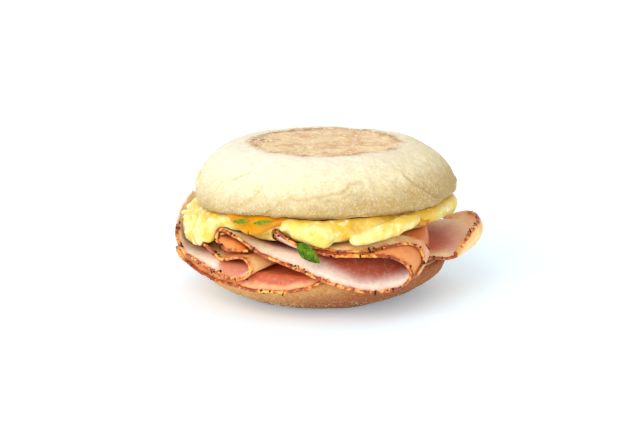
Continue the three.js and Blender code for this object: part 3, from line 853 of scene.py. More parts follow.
# A slice lofted from its front rind to its back rind: x, y, z of the rind, the height of the layer it is
# pressed to, how far in that takes, and how far its middle moves to +X.
def foldedGrid(front, back, perStep):
    shares = rowShares()[:, None]
    front = np.array(front, float)
    start, end = front[None, :, :3], np.asarray(back)[None]
    span = np.linalg.norm(start - end, axis=-1)
    inwards = np.minimum(shares, 1 - shares) * span
    pressed = np.sin(math.pi / 2 * np.minimum(inwards / front[:, 4], 1))
    points = mix(start, end, shares[..., None])
    points[..., 0] += front[:, 5] * (1 - np.abs(2 * shares - 1) ** 4)
    rind = np.where(shares < 0.5, start[..., 2], end[..., 2])
    points[..., 2] = mix(rind, front[:, 3], pressed)
    return throughPoints(points.transpose(1, 0, 2), perStep).transpose(1, 0, 2)


# The left slice's rind comes down from the back left, along the front, and folds back over itself. Its
# hidden rind at the back is given as degrees, radius and height.
leftSlice = {
    "perStep": 24,
    "front": [
        (-48, 18, 33, level(1), 50, 0),
        (-51.4, 8, 28.8, level(1), 20, 0),
        (-52.4, -4, 22.9, level(1), 12, 0),
        (-49.4, -16, 18.6, level(1), 8, 0),
        (-43.2, -27.4, 17.2, level(1), 6, 0),
        (-36.5, -34.6, 15.1, level(1), 5.5, 0),
        (-30.3, -40, 14, level(1), 6, 1),
        (-26.3, -42.6, 15.1, level(1) + 0.15, 6, 3),
        (-24, -43.7, 18.2, level(2) - 0.2, 20, 6),
        (-25.6, -42.2, 21.6, level(2) + 1.5, 14, 4),
        (-29.2, -39.2, 22, level(2) + 0.9, 12, 1),
        (-34, -33.8, 19.9, level(2) + 0.2, 8, 0),
        (-37.7, -28.6, 20.9, level(2), 8, 0),
        (-41, -22.4, 22.6, level(2), 8, 0),
    ],
    "back": [
        (149, 51, 31.6),
        (140, 51.2, 26.6),
        (130, 51.2, 19.8),
        (119, 51, 15.8),
        (108, 51, 15.4),
        (96, 51, 15.4),
        (84, 51, 15.4),
        (75, 51.2, 15.8),
        (69.5, 50.6, 18.2),
        (74, 49.8, 20.8),
        (84, 49.5, 19.8),
        (98, 49.5, 18.9),
        (114, 49.5, 19.6),
        (132, 49.5, 22.4),
    ],
}
# The front slice: its left end is a flap turned under, its rind falls to the right, folds over and runs back
# to the left. Its hidden rind mirrors the front one, and is given as radius and height.
frontSlice = {
    "perStep": 24,
    "front": [
        (-25.2, -37.2, 23.6, 23.2, 6, 0),
        (-29.6, -34.6, 23.1, 24.6, 5, 0),
        (-33.6, -30.4, 22.7, 25, 5, 0),
        (-36.6, -27.2, 25.2, 26.2, 6, 0),
        (-35.6, -26.6, 28.4, 27.6, 10, 0),
        (-29.3, -34.1, 28, 27.3, 10, 0),
        (-21.1, -42, 24, 25.4, 10, 0),
        (-11, -47.2, 21, level(4), 10, 0),
        (0, -49.5, 16.7, level(4), 12, 0),
        (10, -49.7, 13.2, level(4), 13, 0),
        (20, -47.4, 11.4, level(4), 16, 1),
        (29.1, -42.5, 12.7, level(4), 24, 5),
        (31.4, -40.9, 15.7, level(4) + 0.9, 32, 7),
        (29.8, -41.4, 19.6, level(4) + 2.5, 24, 8),
        (24, -44.2, 23.1, level(4) + 3.2, 10, 6),
        (14.4, -47.4, 24.3, level(5) + 0.6, 9, 1),
        (4, -48.2, 24.9, level(5), 9, 0),
        (-6.9, -46, 27.5, level(5), 10, 0),
        (-15.5, -40.1, 31.6, level(5) + 1, 14, 0),
    ],
    "back": [(44.5, 22.4), (44.5, 22.8), (44.5, 23.2), (45.5, 24.4), (46.5, 25.6), (50, 25.8), (50, 23.4)]
    + [(50, 22.3)] * 4 + [(49.5, 22.35), (50.8, 23.2), (49.2, 24.9), (48.5, 26.2)] + [(48.5, 25.6)] * 4,
}
# A thin slice nested against the outside of the front slice's right bend: places on the front slice as
# (station, how far in), where a station is a row of its table, along its rind and at its hidden end.
wrapSlice = {
    "thickness": 0.9,
    "perStep": 24,
    "rows": 60,
    "rind": [
        (11.9, 0.4),
        (12.1, 3.2),
        (12.17, 6.6),
        (12.5, 8),
        (13, 8.6),
        (13.4, 8.5),
        (13.75, 7),
        (14.2, 4),
        (14.6, 2),
        (15, 1.1),
        (15.8, 0.6),
        (16.9, 0.5),
    ],
    "endStations": (11.3, 17),
    "endDepths": (15, 11),
}
# The right slice lies under the front one and rolls up at the right: for each section from front to back,
# its y, the x of the roll, the height of its low point, and the roll's radius.
rightSlice = {
    "perStep": 11,
    "perSection": 15,
    "innerEdge": 12,
    "rollAngles": (-90, -60, -30, 0, 25, 50),
    "sections": [
        (-22, 48.6, 16.7, 0.9),
        (-17, 51, 16.6, 1.8),
        (-11, 54.6, 17.2, 3.2),
        (-4, 58.4, 18.5, 4.1),
        (6, 59, 20.4, 3.4),
        (16, 56, 21.8, 2.2),
        (19, 52, 21.2, 1.7),
        (22, 47, 20.2, 1.3),
    ],
}
# The lowest slice is a round sheet that hangs over the heel's edge: angle, radius and height of its rind.
baseSlice = {
    "columns": 520,
    "bend": 44.4,
    "flatRings": 18,
    "hangingRings": 22,
    "rind": [
        [5, 45.5, 15.6],
        [30, 49, 13.6],
        [62, 50.3, 12],
        [95, 48.8, 12.8],
        [130, 50.6, 11.8],
        [160, 51.6, 13.6],
        [187, 52.5, 16.4],
        [199, 52, 15.6],
        [213, 49.9, 13.2],
        [228, 49.6, 11.9],
        [244, 49.4, 11.3],
        [256, 49.4, 11.5],
        [264, 48.7, 13],
        [272, 46.8, 15.4],
        [290, 42, level(0)],
        [345, 41.5, level(0)],
    ],
}


def leftGrid():
    back = [polar(*row) for row in leftSlice["back"]]
    return foldedGrid(leftSlice["front"], back, leftSlice["perStep"])


def frontGrid():
    rows = zip(frontSlice["front"], frontSlice["back"])
    back = [polar(math.degrees(math.atan2(-row[1], row[0])), *opposite) for row, opposite in rows]
    return foldedGrid(frontSlice["front"], back, frontSlice["perStep"])


# Reads a grid at fractional rows and columns.
def between(grid, row, column):
    i = np.clip(np.floor(row).astype(int), 0, grid.shape[0] - 2)
    j = np.clip(np.floor(column).astype(int), 0, grid.shape[1] - 2)
    down, across = (row - i)[..., None], (column - j)[..., None]
    upper = mix(grid[i, j], grid[i, j + 1], across)
    lower = mix(grid[i + 1, j], grid[i + 1, j + 1], across)
    return mix(upper, lower, down)


def wrapGrid():
    under = frontGrid()[: len(rowShares()) // 2]
    offset = (ham["thickness"] + wrapSlice["thickness"]) / 2 + ham["gap"]
    outside = under - gridNormals(under) * offset
    depths = walked(under)
    rind = throughPoints(np.array(wrapSlice["rind"], float), wrapSlice["perStep"])
    along = np.linspace(0, 1, len(rind))
    end = np.stack([mix(*wrapSlice["endStations"], along), mix(*wrapSlice["endDepths"], along)], -1)
    share = np.linspace(0, 1, wrapSlice["rows"])[:, None, None] ** 1.5
    station, depth = np.moveaxis(mix(rind[None], end[None], share), -1, 0)
    column = station * frontSlice["perStep"]
    nearest = np.clip(np.round(column).astype(int), 0, under.shape[1] - 1)
    row = np.empty(depth.shape)
    for k in np.unique(nearest):
        here = nearest == k
        row[here] = np.interp(depth[here], depths[:, k], np.arange(len(depths)))
    return between(outside, row, column)


def rightGrid():
    sections = []
    for y, far, low, radius in rightSlice["sections"]:
        frontness = float(smoothStep(-y, 6, 22))
        bedded = mix(level(3), low, 0.7 * frontness)
        section = [
            (rightSlice["innerEdge"], y, level(3)),
            (24, y, mix(level(3), bedded, 0.5)),
            (34, y - 2 * frontness, bedded),
            (40, y - frontness, mix(bedded, low, 0.5)),
            (far - max(radius, 2) * 1.6, y + 1.5 * frontness, low),
        ]
        for angle in rightSlice["rollAngles"]:
            a = math.radians(angle)
            x = far - radius + radius * math.cos(a)
            section.append((x, y + 3 * frontness, low + radius * (1 + math.sin(a))))
        sections.append(section)
    lines = throughPoints(np.array(sections).transpose(1, 0, 2), rightSlice["perStep"])
    return throughPoints(lines.transpose(1, 0, 2), rightSlice["perSection"])


def baseGrid():
    degrees = -360 * np.arange(baseSlice["columns"]) / baseSlice["columns"]
    radius, height = roundTable(baseSlice["rind"])(degrees)
    bend = np.minimum(radius - 1.6, baseSlice["bend"])
    flat = [bend * share**0.7 for share in np.linspace(0, 1, baseSlice["flatRings"])]
    steps = np.linspace(0, 1, baseSlice["hangingRings"] + 1)[1:]
    hanging = [mix(bend, radius, 1 - (1 - step) ** 1.5) for step in steps]
    reach = np.array(flat + hanging)
    drop = smoothStep(reach, baseSlice["bend"], np.maximum(radius, 46.5))
    return polar(degrees, reach, mix(level(0), height, drop))


# Where a slice's edge is a plain cut without rind: high up at the left, and behind at the right.
def bareEdge(points):
    x, y, z = points.T
    left = smoothStep(z, *ham["bareLeft"][0]) * smoothStep(-x, *ham["bareLeft"][1])
    right = smoothStep(x, *ham["bareRight"][0]) * smoothStep(y, *ham["bareRight"][1])
    return np.maximum(left, right)


# The slices' free edges ripple, and their rinds are rough.
def hamPiece(name, grid, seed, wrap=False, thickness=ham["thickness"]):
    loose = smoothStep(axisDistance(grid), *ham["freeBeyond"])
    loose = np.exp(-rimDistance(grid, wrap) / ham["rippleWidth"]) * loose
    ripple = ham["edgeRipple"] * loose * (lumps(grid, 5, seed) + 0.6 * lumps(grid, 2.2, seed + 1))
    grid = grid + gridNormals(grid, wrap) * ripple[..., None]
    sheet = closedSheet(grid, thickness, wrap, 0.8, 5, ham["rimTaper"])
    points, rind = sheet["points"], sheet["rind"]
    crust = bell(rind, ham["rindWidth"])
    rough = lumps(points, 1.5, seed + 2, 2) + 0.55 * lumps(points, 0.6, seed + 3)
    relief = ham["rindRelief"] * crust * rough + ham["skinRelief"] * lumps(points, 6, seed + 4)
    points = points + sheet["away"] * relief[:, None]
    readings = {"rind": rind, "side": sheet["side"], "bare": bareEdge(points)}
    return makeSheet(name, sheet, points, readings)


# Each slice's colours: its inner face by the rind and deep in, and its outer face by the rind and deep in,
# with how far in the deep colours start and are full, in mm. The deep colours are partly the meat's own
# colour and partly painted shade where the folds keep light out. Its pocket shade, a place and how far it
# reaches, is deeper still: painted shade inside the fold.
hamColours = {
    "ham_base": {
        "near": paint(246, 190, 134),
        "deep": paint(204, 98, 56),
        "outNear": paint(244, 172, 98),
        "outDeep": paint(222, 128, 72),
        "from": (0.5, 5),
        "pocketShade": ((-12, -36, 17), 12),
    },
    "ham_left": {
        "near": paint(255, 232, 212),
        "deep": paint(216, 136, 104),
        "outNear": paint(252, 206, 138),
        "outDeep": paint(240, 158, 104),
        "from": (3, 14),
        "pocketShade": ((-29, -35, 18.5), 10),
    },
    "ham_front": {
        "near": paint(255, 236, 218),
        "deep": paint(168, 74, 48),
        "outNear": paint(240, 160, 86),
        "outDeep": paint(226, 128, 78),
        "from": (2.5, 17),
        "pocketShade": ((13, -30, 19), 25),
    },
    "ham_wrap": {
        "near": paint(242, 176, 112),
        "deep": paint(214, 120, 78),
        "outNear": paint(252, 222, 180),
        "outDeep": paint(240, 178, 130),
        "from": (1.5, 9),
        "pocketShade": ((34, -34, 22), 8),
    },
    "ham_right": {
        "near": paint(255, 222, 180),
        "deep": paint(196, 84, 44),
        "outNear": paint(255, 220, 150),
        "outDeep": paint(236, 150, 88),
        "from": (4, 24),
        "pocketShade": ((35, -12, 24), 17),
    },
}
rindColours = {
    "bare": paint(255, 236, 220),
    "gold": paint(246, 186, 92),
    "orange": paint(222, 118, 44),
    "brown": paint(164, 70, 22),
    "dark": paint(72, 28, 12),
    "fat": paint(255, 242, 224),
}


def hamFinish(name, colours):
    finish = Finish(name + "Meat", {"Specular IOR Level": 0.5, "Coat Roughness": 0.28})
    finish.letLightIn(0.3, (1.0, 0.34, 0.2), 1.8)
    rind, side, bare = (finish.read(label) for label in ("rind", "side", "bare"))
    muscle = finish.noise(10, 3, 0.5, 1, twist=0.6)
    grain = finish.noise(1.3, 3, 0.6, 2)
    speckle = finish.noise(0.5, 2, 0.5, 3)
    # Deeper in from the rind, and most in the pocket, the meat is painted darker: partly its own colour,
    # partly painted shade in the folds.
    depth = (rind + 7 * (muscle - 0.5) + 13 * finish.near(*colours["pocketShade"])).rise(*colours["from"])
    inner = finish.layers(
        colours["near"],
        (depth, colours["deep"]),
        ((grain - 0.5) * 0.6, rindColours["fat"]),
        ((0.5 - grain) * 0.9, colours["deep"]),
    )
    outer = finish.layers(
        colours["outNear"],
        (depth, colours["outDeep"]),
        (finish.noise(3.2, 4, 0.6, 5).rise(0.5, 0.68) * 0.5, rindColours["orange"]),
        (bare * 0.85, rindColours["bare"]),
    )
    scorch = finish.noise(1.5, 4, 0.65, 6) + 0.9 * (finish.noise(7, 2, 0.5, 8) - 0.5)
    skin = finish.layers(
        rindColours["gold"],
        (scorch.rise(0.34, 0.48), rindColours["orange"]),
        (scorch.rise(0.46, 0.58), rindColours["brown"]),
        (speckle.rise(0.54, 0.68) * scorch.rise(0.4, 0.56), rindColours["dark"]),
    )
    ragged = rind + 1.7 * (finish.noise(1.6, 3, 0.6, 7) - 0.5)
    colour = finish.layers(
        finish.blend(side, outer, inner),
        (ragged.fall(0.7, 2.6) * (1 - bare) * 0.4, rindColours["orange"]),
        (ragged.fall(0.35, 1.2) * (1 - bare), skin),
    )
    relief = 0.12 * grain + 0.05 * speckle + 0.15 * ragged.fall(0.4, 1.4) * scorch
    return finish.dress(colour, 0.36 + 0.2 * grain, relief, 0.1 + 0.25 * muscle.rise(0.45, 0.6))


slices = {
    "ham_base": hamPiece("ham_base_slice", baseGrid(), 21, True),
    "ham_left": hamPiece("ham_left_slice", leftGrid(), 31),
    "ham_front": hamPiece("ham_front_slice", frontGrid(), 41),
    "ham_wrap": hamPiece("ham_wrap_slice", wrapGrid(), 61, thickness=wrapSlice["thickness"]),
    "ham_right": hamPiece("ham_right_slice", rightGrid(), 51),
}
for node, piece in slices.items():
    finishPiece(piece, hamFinish(node, hamColours[node]), "ham", node)
print("ham is folded")

cheese = {
    "side": 72.5,
    "place": (-0.5, -0.8),
    "thickness": 2,
    "turn": 102.6,
    "corner": 8,
    "bend": 40.5,
    "droopRadius": 3,
    "droopMost": math.radians(70),
    "restsOn": 34.35,
    "steps": 170,
    "melt": 0.35,
    "freeBeyond": (39, 44),
    "rimRoll": 0.28,
    "rimWidth": 1.6,
}
cheeseColours = {
    "yellow": paint(226, 160, 4),
    "orange": paint(206, 128, 2),
    "light": paint(248, 200, 36),
    "rim": paint(222, 140, 4),
}


def cheeseGrid(steps):
    c, s = math.cos(math.radians(cheese["turn"])), math.sin(math.radians(cheese["turn"]))
    middle = cheese["restsOn"] + ham["gap"] + cheese["thickness"] / 2
    u, v = np.meshgrid(np.linspace(-1, 1, steps + 1), np.linspace(-1, 1, steps + 1))
    flat = np.maximum(np.maximum(np.abs(u), np.abs(v)), 1e-6)
    power = (np.abs(u) ** cheese["corner"] + np.abs(v) ** cheese["corner"]) ** (1 / cheese["corner"])
    size = cheese["side"] / 2 * flat / np.maximum(power, 1e-6)
    r = np.maximum(size * np.hypot(u, v), 1e-6)
    over = np.maximum(r - cheese["bend"], 0)
    angle = np.minimum(over / cheese["droopRadius"], cheese["droopMost"])
    straight = over - angle * cheese["droopRadius"]
    reach = np.minimum(r, cheese["bend"]) + cheese["droopRadius"] * np.sin(angle) + straight * np.cos(angle)
    drop = cheese["droopRadius"] * (1 - np.cos(angle)) + straight * np.sin(angle)
    scale = size * reach / r
    x, y = cheese["place"]
    return np.stack([x + (u * c - v * s) * scale, y + (u * s + v * c) * scale, middle - drop], -1)


def cheesePiece():
    grid = cheeseGrid(cheese["steps"])
    melt = cheese["melt"] * lumps(grid, 9, 61) * smoothStep(axisDistance(grid), *cheese["freeBeyond"])
    grid = grid + gridNormals(grid) * melt[..., None]
    sheet = closedSheet(grid, cheese["thickness"], bulge=1.1, rimRings=7)
    relief = cheese["rimRoll"] * bell(sheet["rind"], cheese["rimWidth"])
    relief *= 1 + 0.8 * lumps(sheet["points"], 4, 62)
    relief += 0.06 * lumps(sheet["points"], 2.2, 63)
    points = sheet["points"] + sheet["away"] * relief[:, None]
    return makeSheet("cheese_slice", sheet, points, {"rind": sheet["rind"]})


def cheeseFinish():
    finish = Finish("meltedCheese", {"Specular IOR Level": 0.25, "Coat Roughness": 0.12})
    finish.letLightIn(0.25, (1.0, 0.5, 0.06), 2)
    melt = finish.noise(6, 3, 0.5, 1, twist=0.5)
    fine = finish.noise(1.1, 3, 0.6, 2)
    colour = finish.layers(
        cheeseColours["yellow"],
        (melt.rise(0.36, 0.64), cheeseColours["orange"]),
        (fine.rise(0.55, 0.75) * 0.25, cheeseColours["light"]),
        (finish.read("rind").fall(0.2, 1.8) * 0.5, cheeseColours["rim"]),
    )
    coat = 0.04 + 0.12 * melt.rise(0.4, 0.6)
    return finish.dress(colour, 0.22 + 0.2 * fine, 0.12 * melt + 0.05 * fine, coat)


finishPiece(cheesePiece(), cheeseFinish(), "cheese", "cheese")

egg = {
    "top": 34.35,
    "underside": level(5) + ham["thickness"] / 2 + ham["gap"],
    "flatRadius": 38,
    "columns": 300,
    "voxel": 0.56,
    "clearance": 0.3,
    "rise": 0.35,
    "tuck": 4.5,  # how far its upper edge lies in at the left
    "tuckAt": 186,
    "tuckWidth": 22,
    "curdSeed": 5,
    "curds": 120,
    "curdSize": (0.9, 2.1),
    "noCurds": (205, 256),  # in degrees, where ham covers the edge
    "freeBeyond": (36, 44),  # how far out it starts to be lumpy
    "streaks": ((-0.2, 0, -0.26), (0.8, 0, -0.6), (0, 0.5, 0)),  # folds run down to the left
    "streaksBeyond": (30, 38),
}
# Its edge all round: angle, radius, height of its lower edge and of its upper edge.
eggEdge = roundTable(
    [
        [0, 50, 29.4, 35.6],
        [30, 48.5, 28, 35.2],
        [60, 49.3, 27.4, 34.6],
        [95, 49.6, 27, 35],
        [130, 48.6, 27.6, 34.6],
        [152, 48.8, 27, 34],
        [172, 49.6, 23.2, 33.6],
        [188, 50.4, 20.6, 32.6],
        [204, 49.2, 21, 32.8],
        [212, 47.6, 23.6, 33.4],
        [218, 43.6, 28.6, 34.2],
        [228, 42, 29.6, 34.4],
        [250, 43, 30, 34.4],
        [255, 47.4, 33.4, 36],
        [258.5, 49, 30.6, 36.4],
        [266, 50.2, 28.8, 36.3],
        [272, 50.6, 27.6, 36.2],
        [276.5, 48.8, 29.8, 36.2],
        [290, 46.4, 30, 36.2],
        [305, 45.2, 31, 36.2],
        [320, 45.2, 32, 36],
        [330, 47.2, 31, 36],
        [344, 48, 30.6, 36],
    ]
)
# How far its rings lie inside the edge, and how far up, where 0 is the flat underside, 1 the lower edge and
# 2 the upper edge.
eggRings = [(-4, 0.7), (-1.4, 1), (-0.1, 1.35), (-0.2, 1.7), (-2, 2)]
# A soft roll over its front edge: x, y, z and thickness along it.
eggRoll = [
    (9.8, -48.2, 30, 3.4),
    (14.4, -47.3, 30.8, 5.2),
    (19.9, -45.4, 32, 5.8),
    (25.9, -41.4, 33.3, 5.8),
    (31.3, -36.4, 33.9, 5.2),
    (35.2, -31.8, 34.3, 3.2),
]


def eggBody():
    degrees = 360 * np.arange(egg["columns"]) / egg["columns"]
    turn = np.radians(degrees)
    radius, low, high = eggEdge(degrees)

    def flatRings(start, end, height):
        return [polar(degrees, r + 0 * turn, height) for r in np.linspace(start, end, 8)]

    under = flatRings(1, egg["flatRadius"], egg["underside"])
    rim = []
    tucked = egg["tuck"] * bell(degrees - egg["tuckAt"], egg["tuckWidth"])
    for inset, stage in eggRings:
        reach = radius + inset + 0.7 * wave(4 * turn, stage) - tucked * max(stage - 1.2, 0)
        height = mix(egg["underside"], low, stage) if stage < 1 else mix(low, high + egg["rise"], stage - 1)
        rim.append(polar(degrees, reach, height))
    over = flatRings(egg["flatRadius"], 1, egg["top"])
    rim = throughPoints(np.array([under[-1], *rim, over[0]]), 5)
    rings = np.array([*under[:-1], *rim, *over[1:]])
    return ringBody(rings, [0, 0, egg["underside"]], [0, 0, egg["top"]])


# A soft round roll along points of x, y, z and thickness, closed to a point at both ends.
def rollBody(points, sides=20, steps=8):
    line = throughPoints(np.array(points, float), steps)
    along = np.gradient(line[:, :3], axis=0)
    along /= np.linalg.norm(along, axis=1, keepdims=True)
    side = np.cross([0, 0, 1], along)
    side /= np.linalg.norm(side, axis=1, keepdims=True)
    up = np.cross(along, side)
    turn = fullTurn(sides)
    ends = np.sqrt(np.clip(np.sin(np.linspace(0, math.pi, len(line))) * 3, 0, 1))[:, None, None]
    radius = line[:, 3][:, None, None] / 2 * ends
    around = side[:, None] * np.cos(turn)[:, None] + up[:, None] * np.sin(turn)[:, None]
    rings = line[:, None, :3] + radius * around
    return ringBody(rings[1:-1], line[0, :3], line[-1, :3])


# Curds along the edge: small uneven balls, half sunk in it.
def curdBodies():
    draw = np.random.default_rng(egg["curdSeed"])
    made = []
    for k in range(egg["curds"]):
        degrees = 360 * (k + draw.random()) / egg["curds"]
        radius, low, high = (float(value) for value in eggEdge(degrees))
        size = draw.uniform(*egg["curdSize"])
        share = draw.random()
        centre = polar(degrees, radius - 0.9 * size - 0.3, mix(low + size, high - size, share))
        stretch = draw.uniform(0.7, 1.5, 3) * size
        if egg["noCurds"][0] < degrees < egg["noCurds"][1]:
            continue
        rings = []
        for lean in np.linspace(-75, 75, 7):
            ring = polar(np.linspace(0, 330, 12), math.cos(math.radians(lean)), math.sin(math.radians(lean)))
            rings.append(centre + ring * stretch)
        pole = np.array([0, 0, stretch[2]])
        made.append(ringBody(np.array(rings), centre - pole, centre + pole))
    return made


# The body, its roll and its curds are melted together. Its neighbours are cut out of it, with a little room.
def omelettePiece():
    points, quads, triangles, count = [], [], [], 0
    for some, fours, threes in [eggBody(), rollBody(eggRoll), *curdBodies()]:
        points.append(some)
        quads.append(fours + count)
        triangles.append(threes + count)
        count += len(some)
    bulk = makePiece("bulk", np.concatenate(points), np.concatenate(quads), np.concatenate(triangles))
    remesh = {"mode": "VOXEL", "voxel_size": egg["voxel"] * mm}
    modify(bulk, "join", "REMESH", **remesh)
    neighbours = [
        (frontGrid()[::2, ::4], ham),
        (wrapGrid()[::3, ::4], wrapSlice),
        (rightGrid()[::3, ::3], ham),
        (leftGrid()[::2, ::4], ham),
        (cheeseGrid(60), cheese),
    ]
    cutters = []
    for grid, kind in neighbours:
        sheet = closedSheet(grid, kind["thickness"] + 2 * egg["clearance"], bulge=1.2)
        cutters.append(makeSheet("cutter", sheet, sheet["points"]))
        modify(bulk, "cut", "BOOLEAN", operation="DIFFERENCE", object=cutters[-1], solver="MANIFOLD")
    modify(bulk, "even", "REMESH", **remesh)
    modify(bulk, "soften", "SMOOTH", factor=0.5, iterations=3)
    omelette = settle(bulk, "omelette_fold")
    for cutter in cutters:
        bpy.data.objects.remove(cutter)
    omelette.data.shade_smooth()
    points, normals = meshPoints(omelette), meshVectors(omelette, "normal")
    free = smoothStep(axisDistance(points), *egg["freeBeyond"])
    coarse, middle, fine = (lumps(points, size, 70 + size, 2) for size in (6, 2.6, 1.2))
    streaks = lumps(points @ np.array(egg["streaks"]).T, 2.4, 75, 2)
    streaks *= smoothStep(-points[:, 0], *egg["streaksBeyond"])
    relief = 0.5 * coarse + 0.16 * middle + 0.05 * fine + 0.5 * streaks
    moveMesh(omelette, points + normals * (free * relief)[:, None])
    # The relief is kept as lift; the finish paints shade in its hollows and light on its tops.
    addReading(omelette.data, "lift", 0.5 + 0.5 * middle + 0.2 * fine + 0.6 * streaks)
    return omelette


eggColours = {
    "pale": paint(247, 229, 148),
    "yellow": paint(243, 213, 96),
    "deep": paint(232, 184, 34),
    "cream": paint(254, 249, 212),
}
# Where it is deepest in colour: places, and how far each reaches.
eggDeepPlaces = [((8.5, -47, 34.6), 6), ((39, -30, 36.5), 13), ((-42, -24, 36), 7)]


def eggFinish():
    finish = Finish("eggCurd", {"Specular IOR Level": 0.5, "Coat Roughness": 0.2})
    finish.letLightIn(0.22, (1.0, 0.8, 0.35), 1.6)
    cloud = finish.noise(5, 4, 0.6, 1, twist=0.4)
    fine = finish.noise(1.2, 3, 0.65, 2)
    lift = finish.read("lift")
    deepShares = [
        finish.noise(8, 3, 0.5, 3).rise(0.56, 0.7) * 0.5,
        # Where the curds are low it is painted deeper: painted shade in the hollows.
        lift.fall(0.1, 0.45) * 0.5,
        # Near the top, under the crown's lip, it is painted deep yellow: painted shadow of the crown.
        (finish.axes()[2] + 2.4 * (cloud - 0.5)).rise(34, 36.4) * 0.7,
        *[finish.near(*place) * (0.5 + 0.8 * cloud) for place in eggDeepPlaces],
    ]
    colour = finish.layers(
        eggColours["yellow"],
        ((cloud + 0.25 * lift).rise(0.48, 0.74), eggColours["pale"]),
        *[(share, eggColours["deep"]) for share in deepShares],
        # Paler, a little, where the curds stand high, and cream on the highest: painted light on the curd
        # tops.
        ((lift + fine).rise(1.1, 1.5) * 0.7, eggColours["cream"]),
    )
    coat = 0.1 + 0.3 * cloud.rise(0.5, 0.65)
    return finish.dress(colour, 0.3 + 0.25 * fine, 0.12 * fine + 0.1 * cloud, coat)


finishPiece(omelettePiece(), eggFinish(), "egg", "omelette")

leafThickness = 0.4
# Each leaf from its stalk end to its tip, with the direction of its width, its width and how far it is
# cupped.
leaves = {
    "basil_front": ((-7.6, -49.4, 29.2), (-0.2, -50.6, 23), (0.6, 0, 0.8), 4.6, 0.5),
    "basil_left": ((-29.6, -38.5, 34.6), (-24.4, -42.1, 35.6), (0, 0, 1), 1.5, 0.2),
    "basil_middle": ((-22.6, -43.1, 35), (-16.4, -45.5, 36.2), (0, 0, 1), 1.4, 0.2),
}


def leafPiece(name, stalk, tip, across, width, cup):
    stalk, tip, side = np.array(stalk, float), np.array(tip, float), np.array(across, float)
    side /= np.linalg.norm(side)
    out = np.cross(tip - stalk, side)
    out /= np.linalg.norm(out)
    t, s = np.meshgrid(np.linspace(0, 1, 61), np.linspace(-1, 1, 33), indexing="ij")
    half = width / 2 * np.maximum(np.sin(math.pi * t**0.8) ** 0.8, 0.06)
    lift = cup * (s * s + 0.35 * np.sin(math.pi * t)) + 0.18 * np.abs(s) * np.sin(9 * t + 2 * s)
    vein = np.abs(np.sin(math.pi * (6 * t - 2.2 * np.abs(s)))) ** 6
    lift += 0.10 * (1 - vein) * np.abs(s) ** 0.5 - 0.16 * bell(s, 0.08)
    points = stalk + t[..., None] * (tip - stalk) + side * (s * half)[..., None] + out * lift[..., None]
    sheet = closedSheet(points, leafThickness, rimRings=2)
    onRim = len(sheet["points"]) - 2 * s.size
    middle = np.concatenate([np.abs(s).ravel()] * 2 + [np.ones(onRim)])
    veins = np.concatenate([vein.ravel()] * 2 + [np.zeros(onRim)])
    readings = {"middle": middle, "vein": veins}
    return makeSheet(name + "_leaf", sheet, sheet["points"], readings)


# Dark and bright green, and the veins.
leafColours = {
    "basil_front": (paint(42, 82, 4), paint(102, 134, 14), paint(160, 184, 50)),
    "basil_left": (paint(104, 130, 22), paint(150, 160, 42), paint(196, 190, 70)),
    "basil_middle": (paint(96, 124, 20), paint(146, 158, 40), paint(196, 190, 70)),
}


def leafFinish(name, dark, bright, pale):
    finish = Finish(name + "Leaf", {"Specular IOR Level": 0.12, "Coat Roughness": 0.3})
    finish.letLightIn(0.15, (0.6, 1.0, 0.1), 1)
    patch = finish.noise(1.6, 3, 0.6, 1)
    veins = (finish.read("middle").fall(0.02, 0.14) * 0.7).largest(finish.read("vein") * 0.35)
    colour = finish.layers(dark, (patch.rise(0.35, 0.65), bright), (veins, pale))
    return finish.dress(colour, 0.42 + 0.2 * patch, 0.08 * patch, 0.03 * patch)


for node, leaf in leaves.items():
    finishPiece(leafPiece(node, *leaf), leafFinish(node, *leafColours[node]), "basil", node)

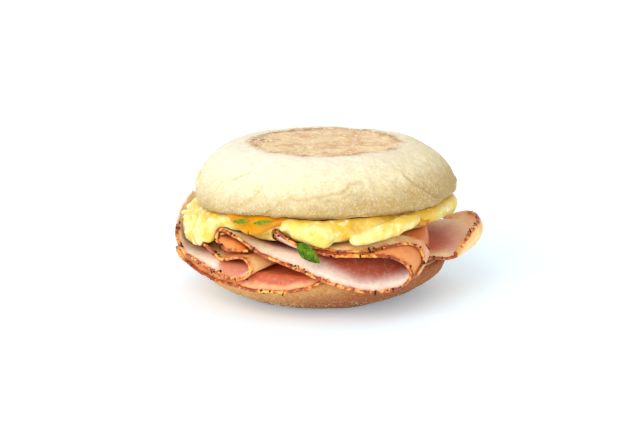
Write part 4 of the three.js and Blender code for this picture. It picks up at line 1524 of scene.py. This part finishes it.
# Smallest and largest size of a grain, and how ragged it is, in mm.
pepper = {
    "perSquareCm": 42,
    "smallest": (0.28, 0.2, 0.16),
    "largest": (0.95, 0.7, 0.45),
    "ragged": 0.5,
    "seed": 4,
    "rindWidth": 0.9,
}
meal = {
    "perSquareCm": 90,
    "smallest": (0.1, 0.1, 0.08),
    "largest": (0.24, 0.2, 0.18),
    "ragged": 0.1,
    "seed": 9,
    "crownEnds": (44, 50),  # up the crown the meal thins out between these heights
    "heelEnds": (3, 8),
    "heelStarts": (0.3, 1.2),
}
grainGroup = scatterTree()


def grainFinish(name, first, second, size, rough):
    finish = Finish(name, {"Specular IOR Level": 0.2})
    tone = finish.noise(size, 2, 0.5, 1)
    return finish.dress(finish.blend(tone.rise(0.42, 0.6), first, second), rough + 0.2 * tone, 0.05 * tone)


def reading(piece, label):
    values = np.empty(len(piece.data.vertices), np.float32)
    piece.data.attributes[label].data.foreach_get("value", values)
    return values


rinds = []
for k, piece in enumerate(slices.values()):
    clustered = smoothStep(lumps(meshPoints(piece), 5, 81 + k, 2), -0.05, 0.4) * (1 - reading(piece, "bare"))
    rinds.append((piece, (reading(piece, "rind") < pepper["rindWidth"]) * clustered))
pepperLook = grainFinish("crackedPepper", paint(40, 22, 14), paint(110, 52, 22), 1.4, 0.55)
scatter("pepper", rinds, pepper, pepperLook, "ham", grainGroup)

mealLook = grainFinish("cornMeal", paint(244, 226, 180), paint(226, 190, 120), 1.2, 0.6)
points = meshPoints(crownBread)
share = smoothStep(lumps(points, 12, 91, 2), -0.1, 0.4) * (1 - smoothStep(points[:, 2], *meal["crownEnds"]))
share *= reading(crownBread, "skin")
scatter("meal_crown", [(crownBread, share)], meal, mealLook, "bread", grainGroup)
points = meshPoints(heelBread)
share = smoothStep(lumps(points, 10, 92, 2), -0.5, 0.2) * (1 - smoothStep(points[:, 2], *meal["heelEnds"]))
share *= smoothStep(points[:, 2], *meal["heelStarts"])
share *= reading(heelBread, "skin")
scatter("meal_heel", [(heelBread, share)], meal, mealLook, "bread", grainGroup)
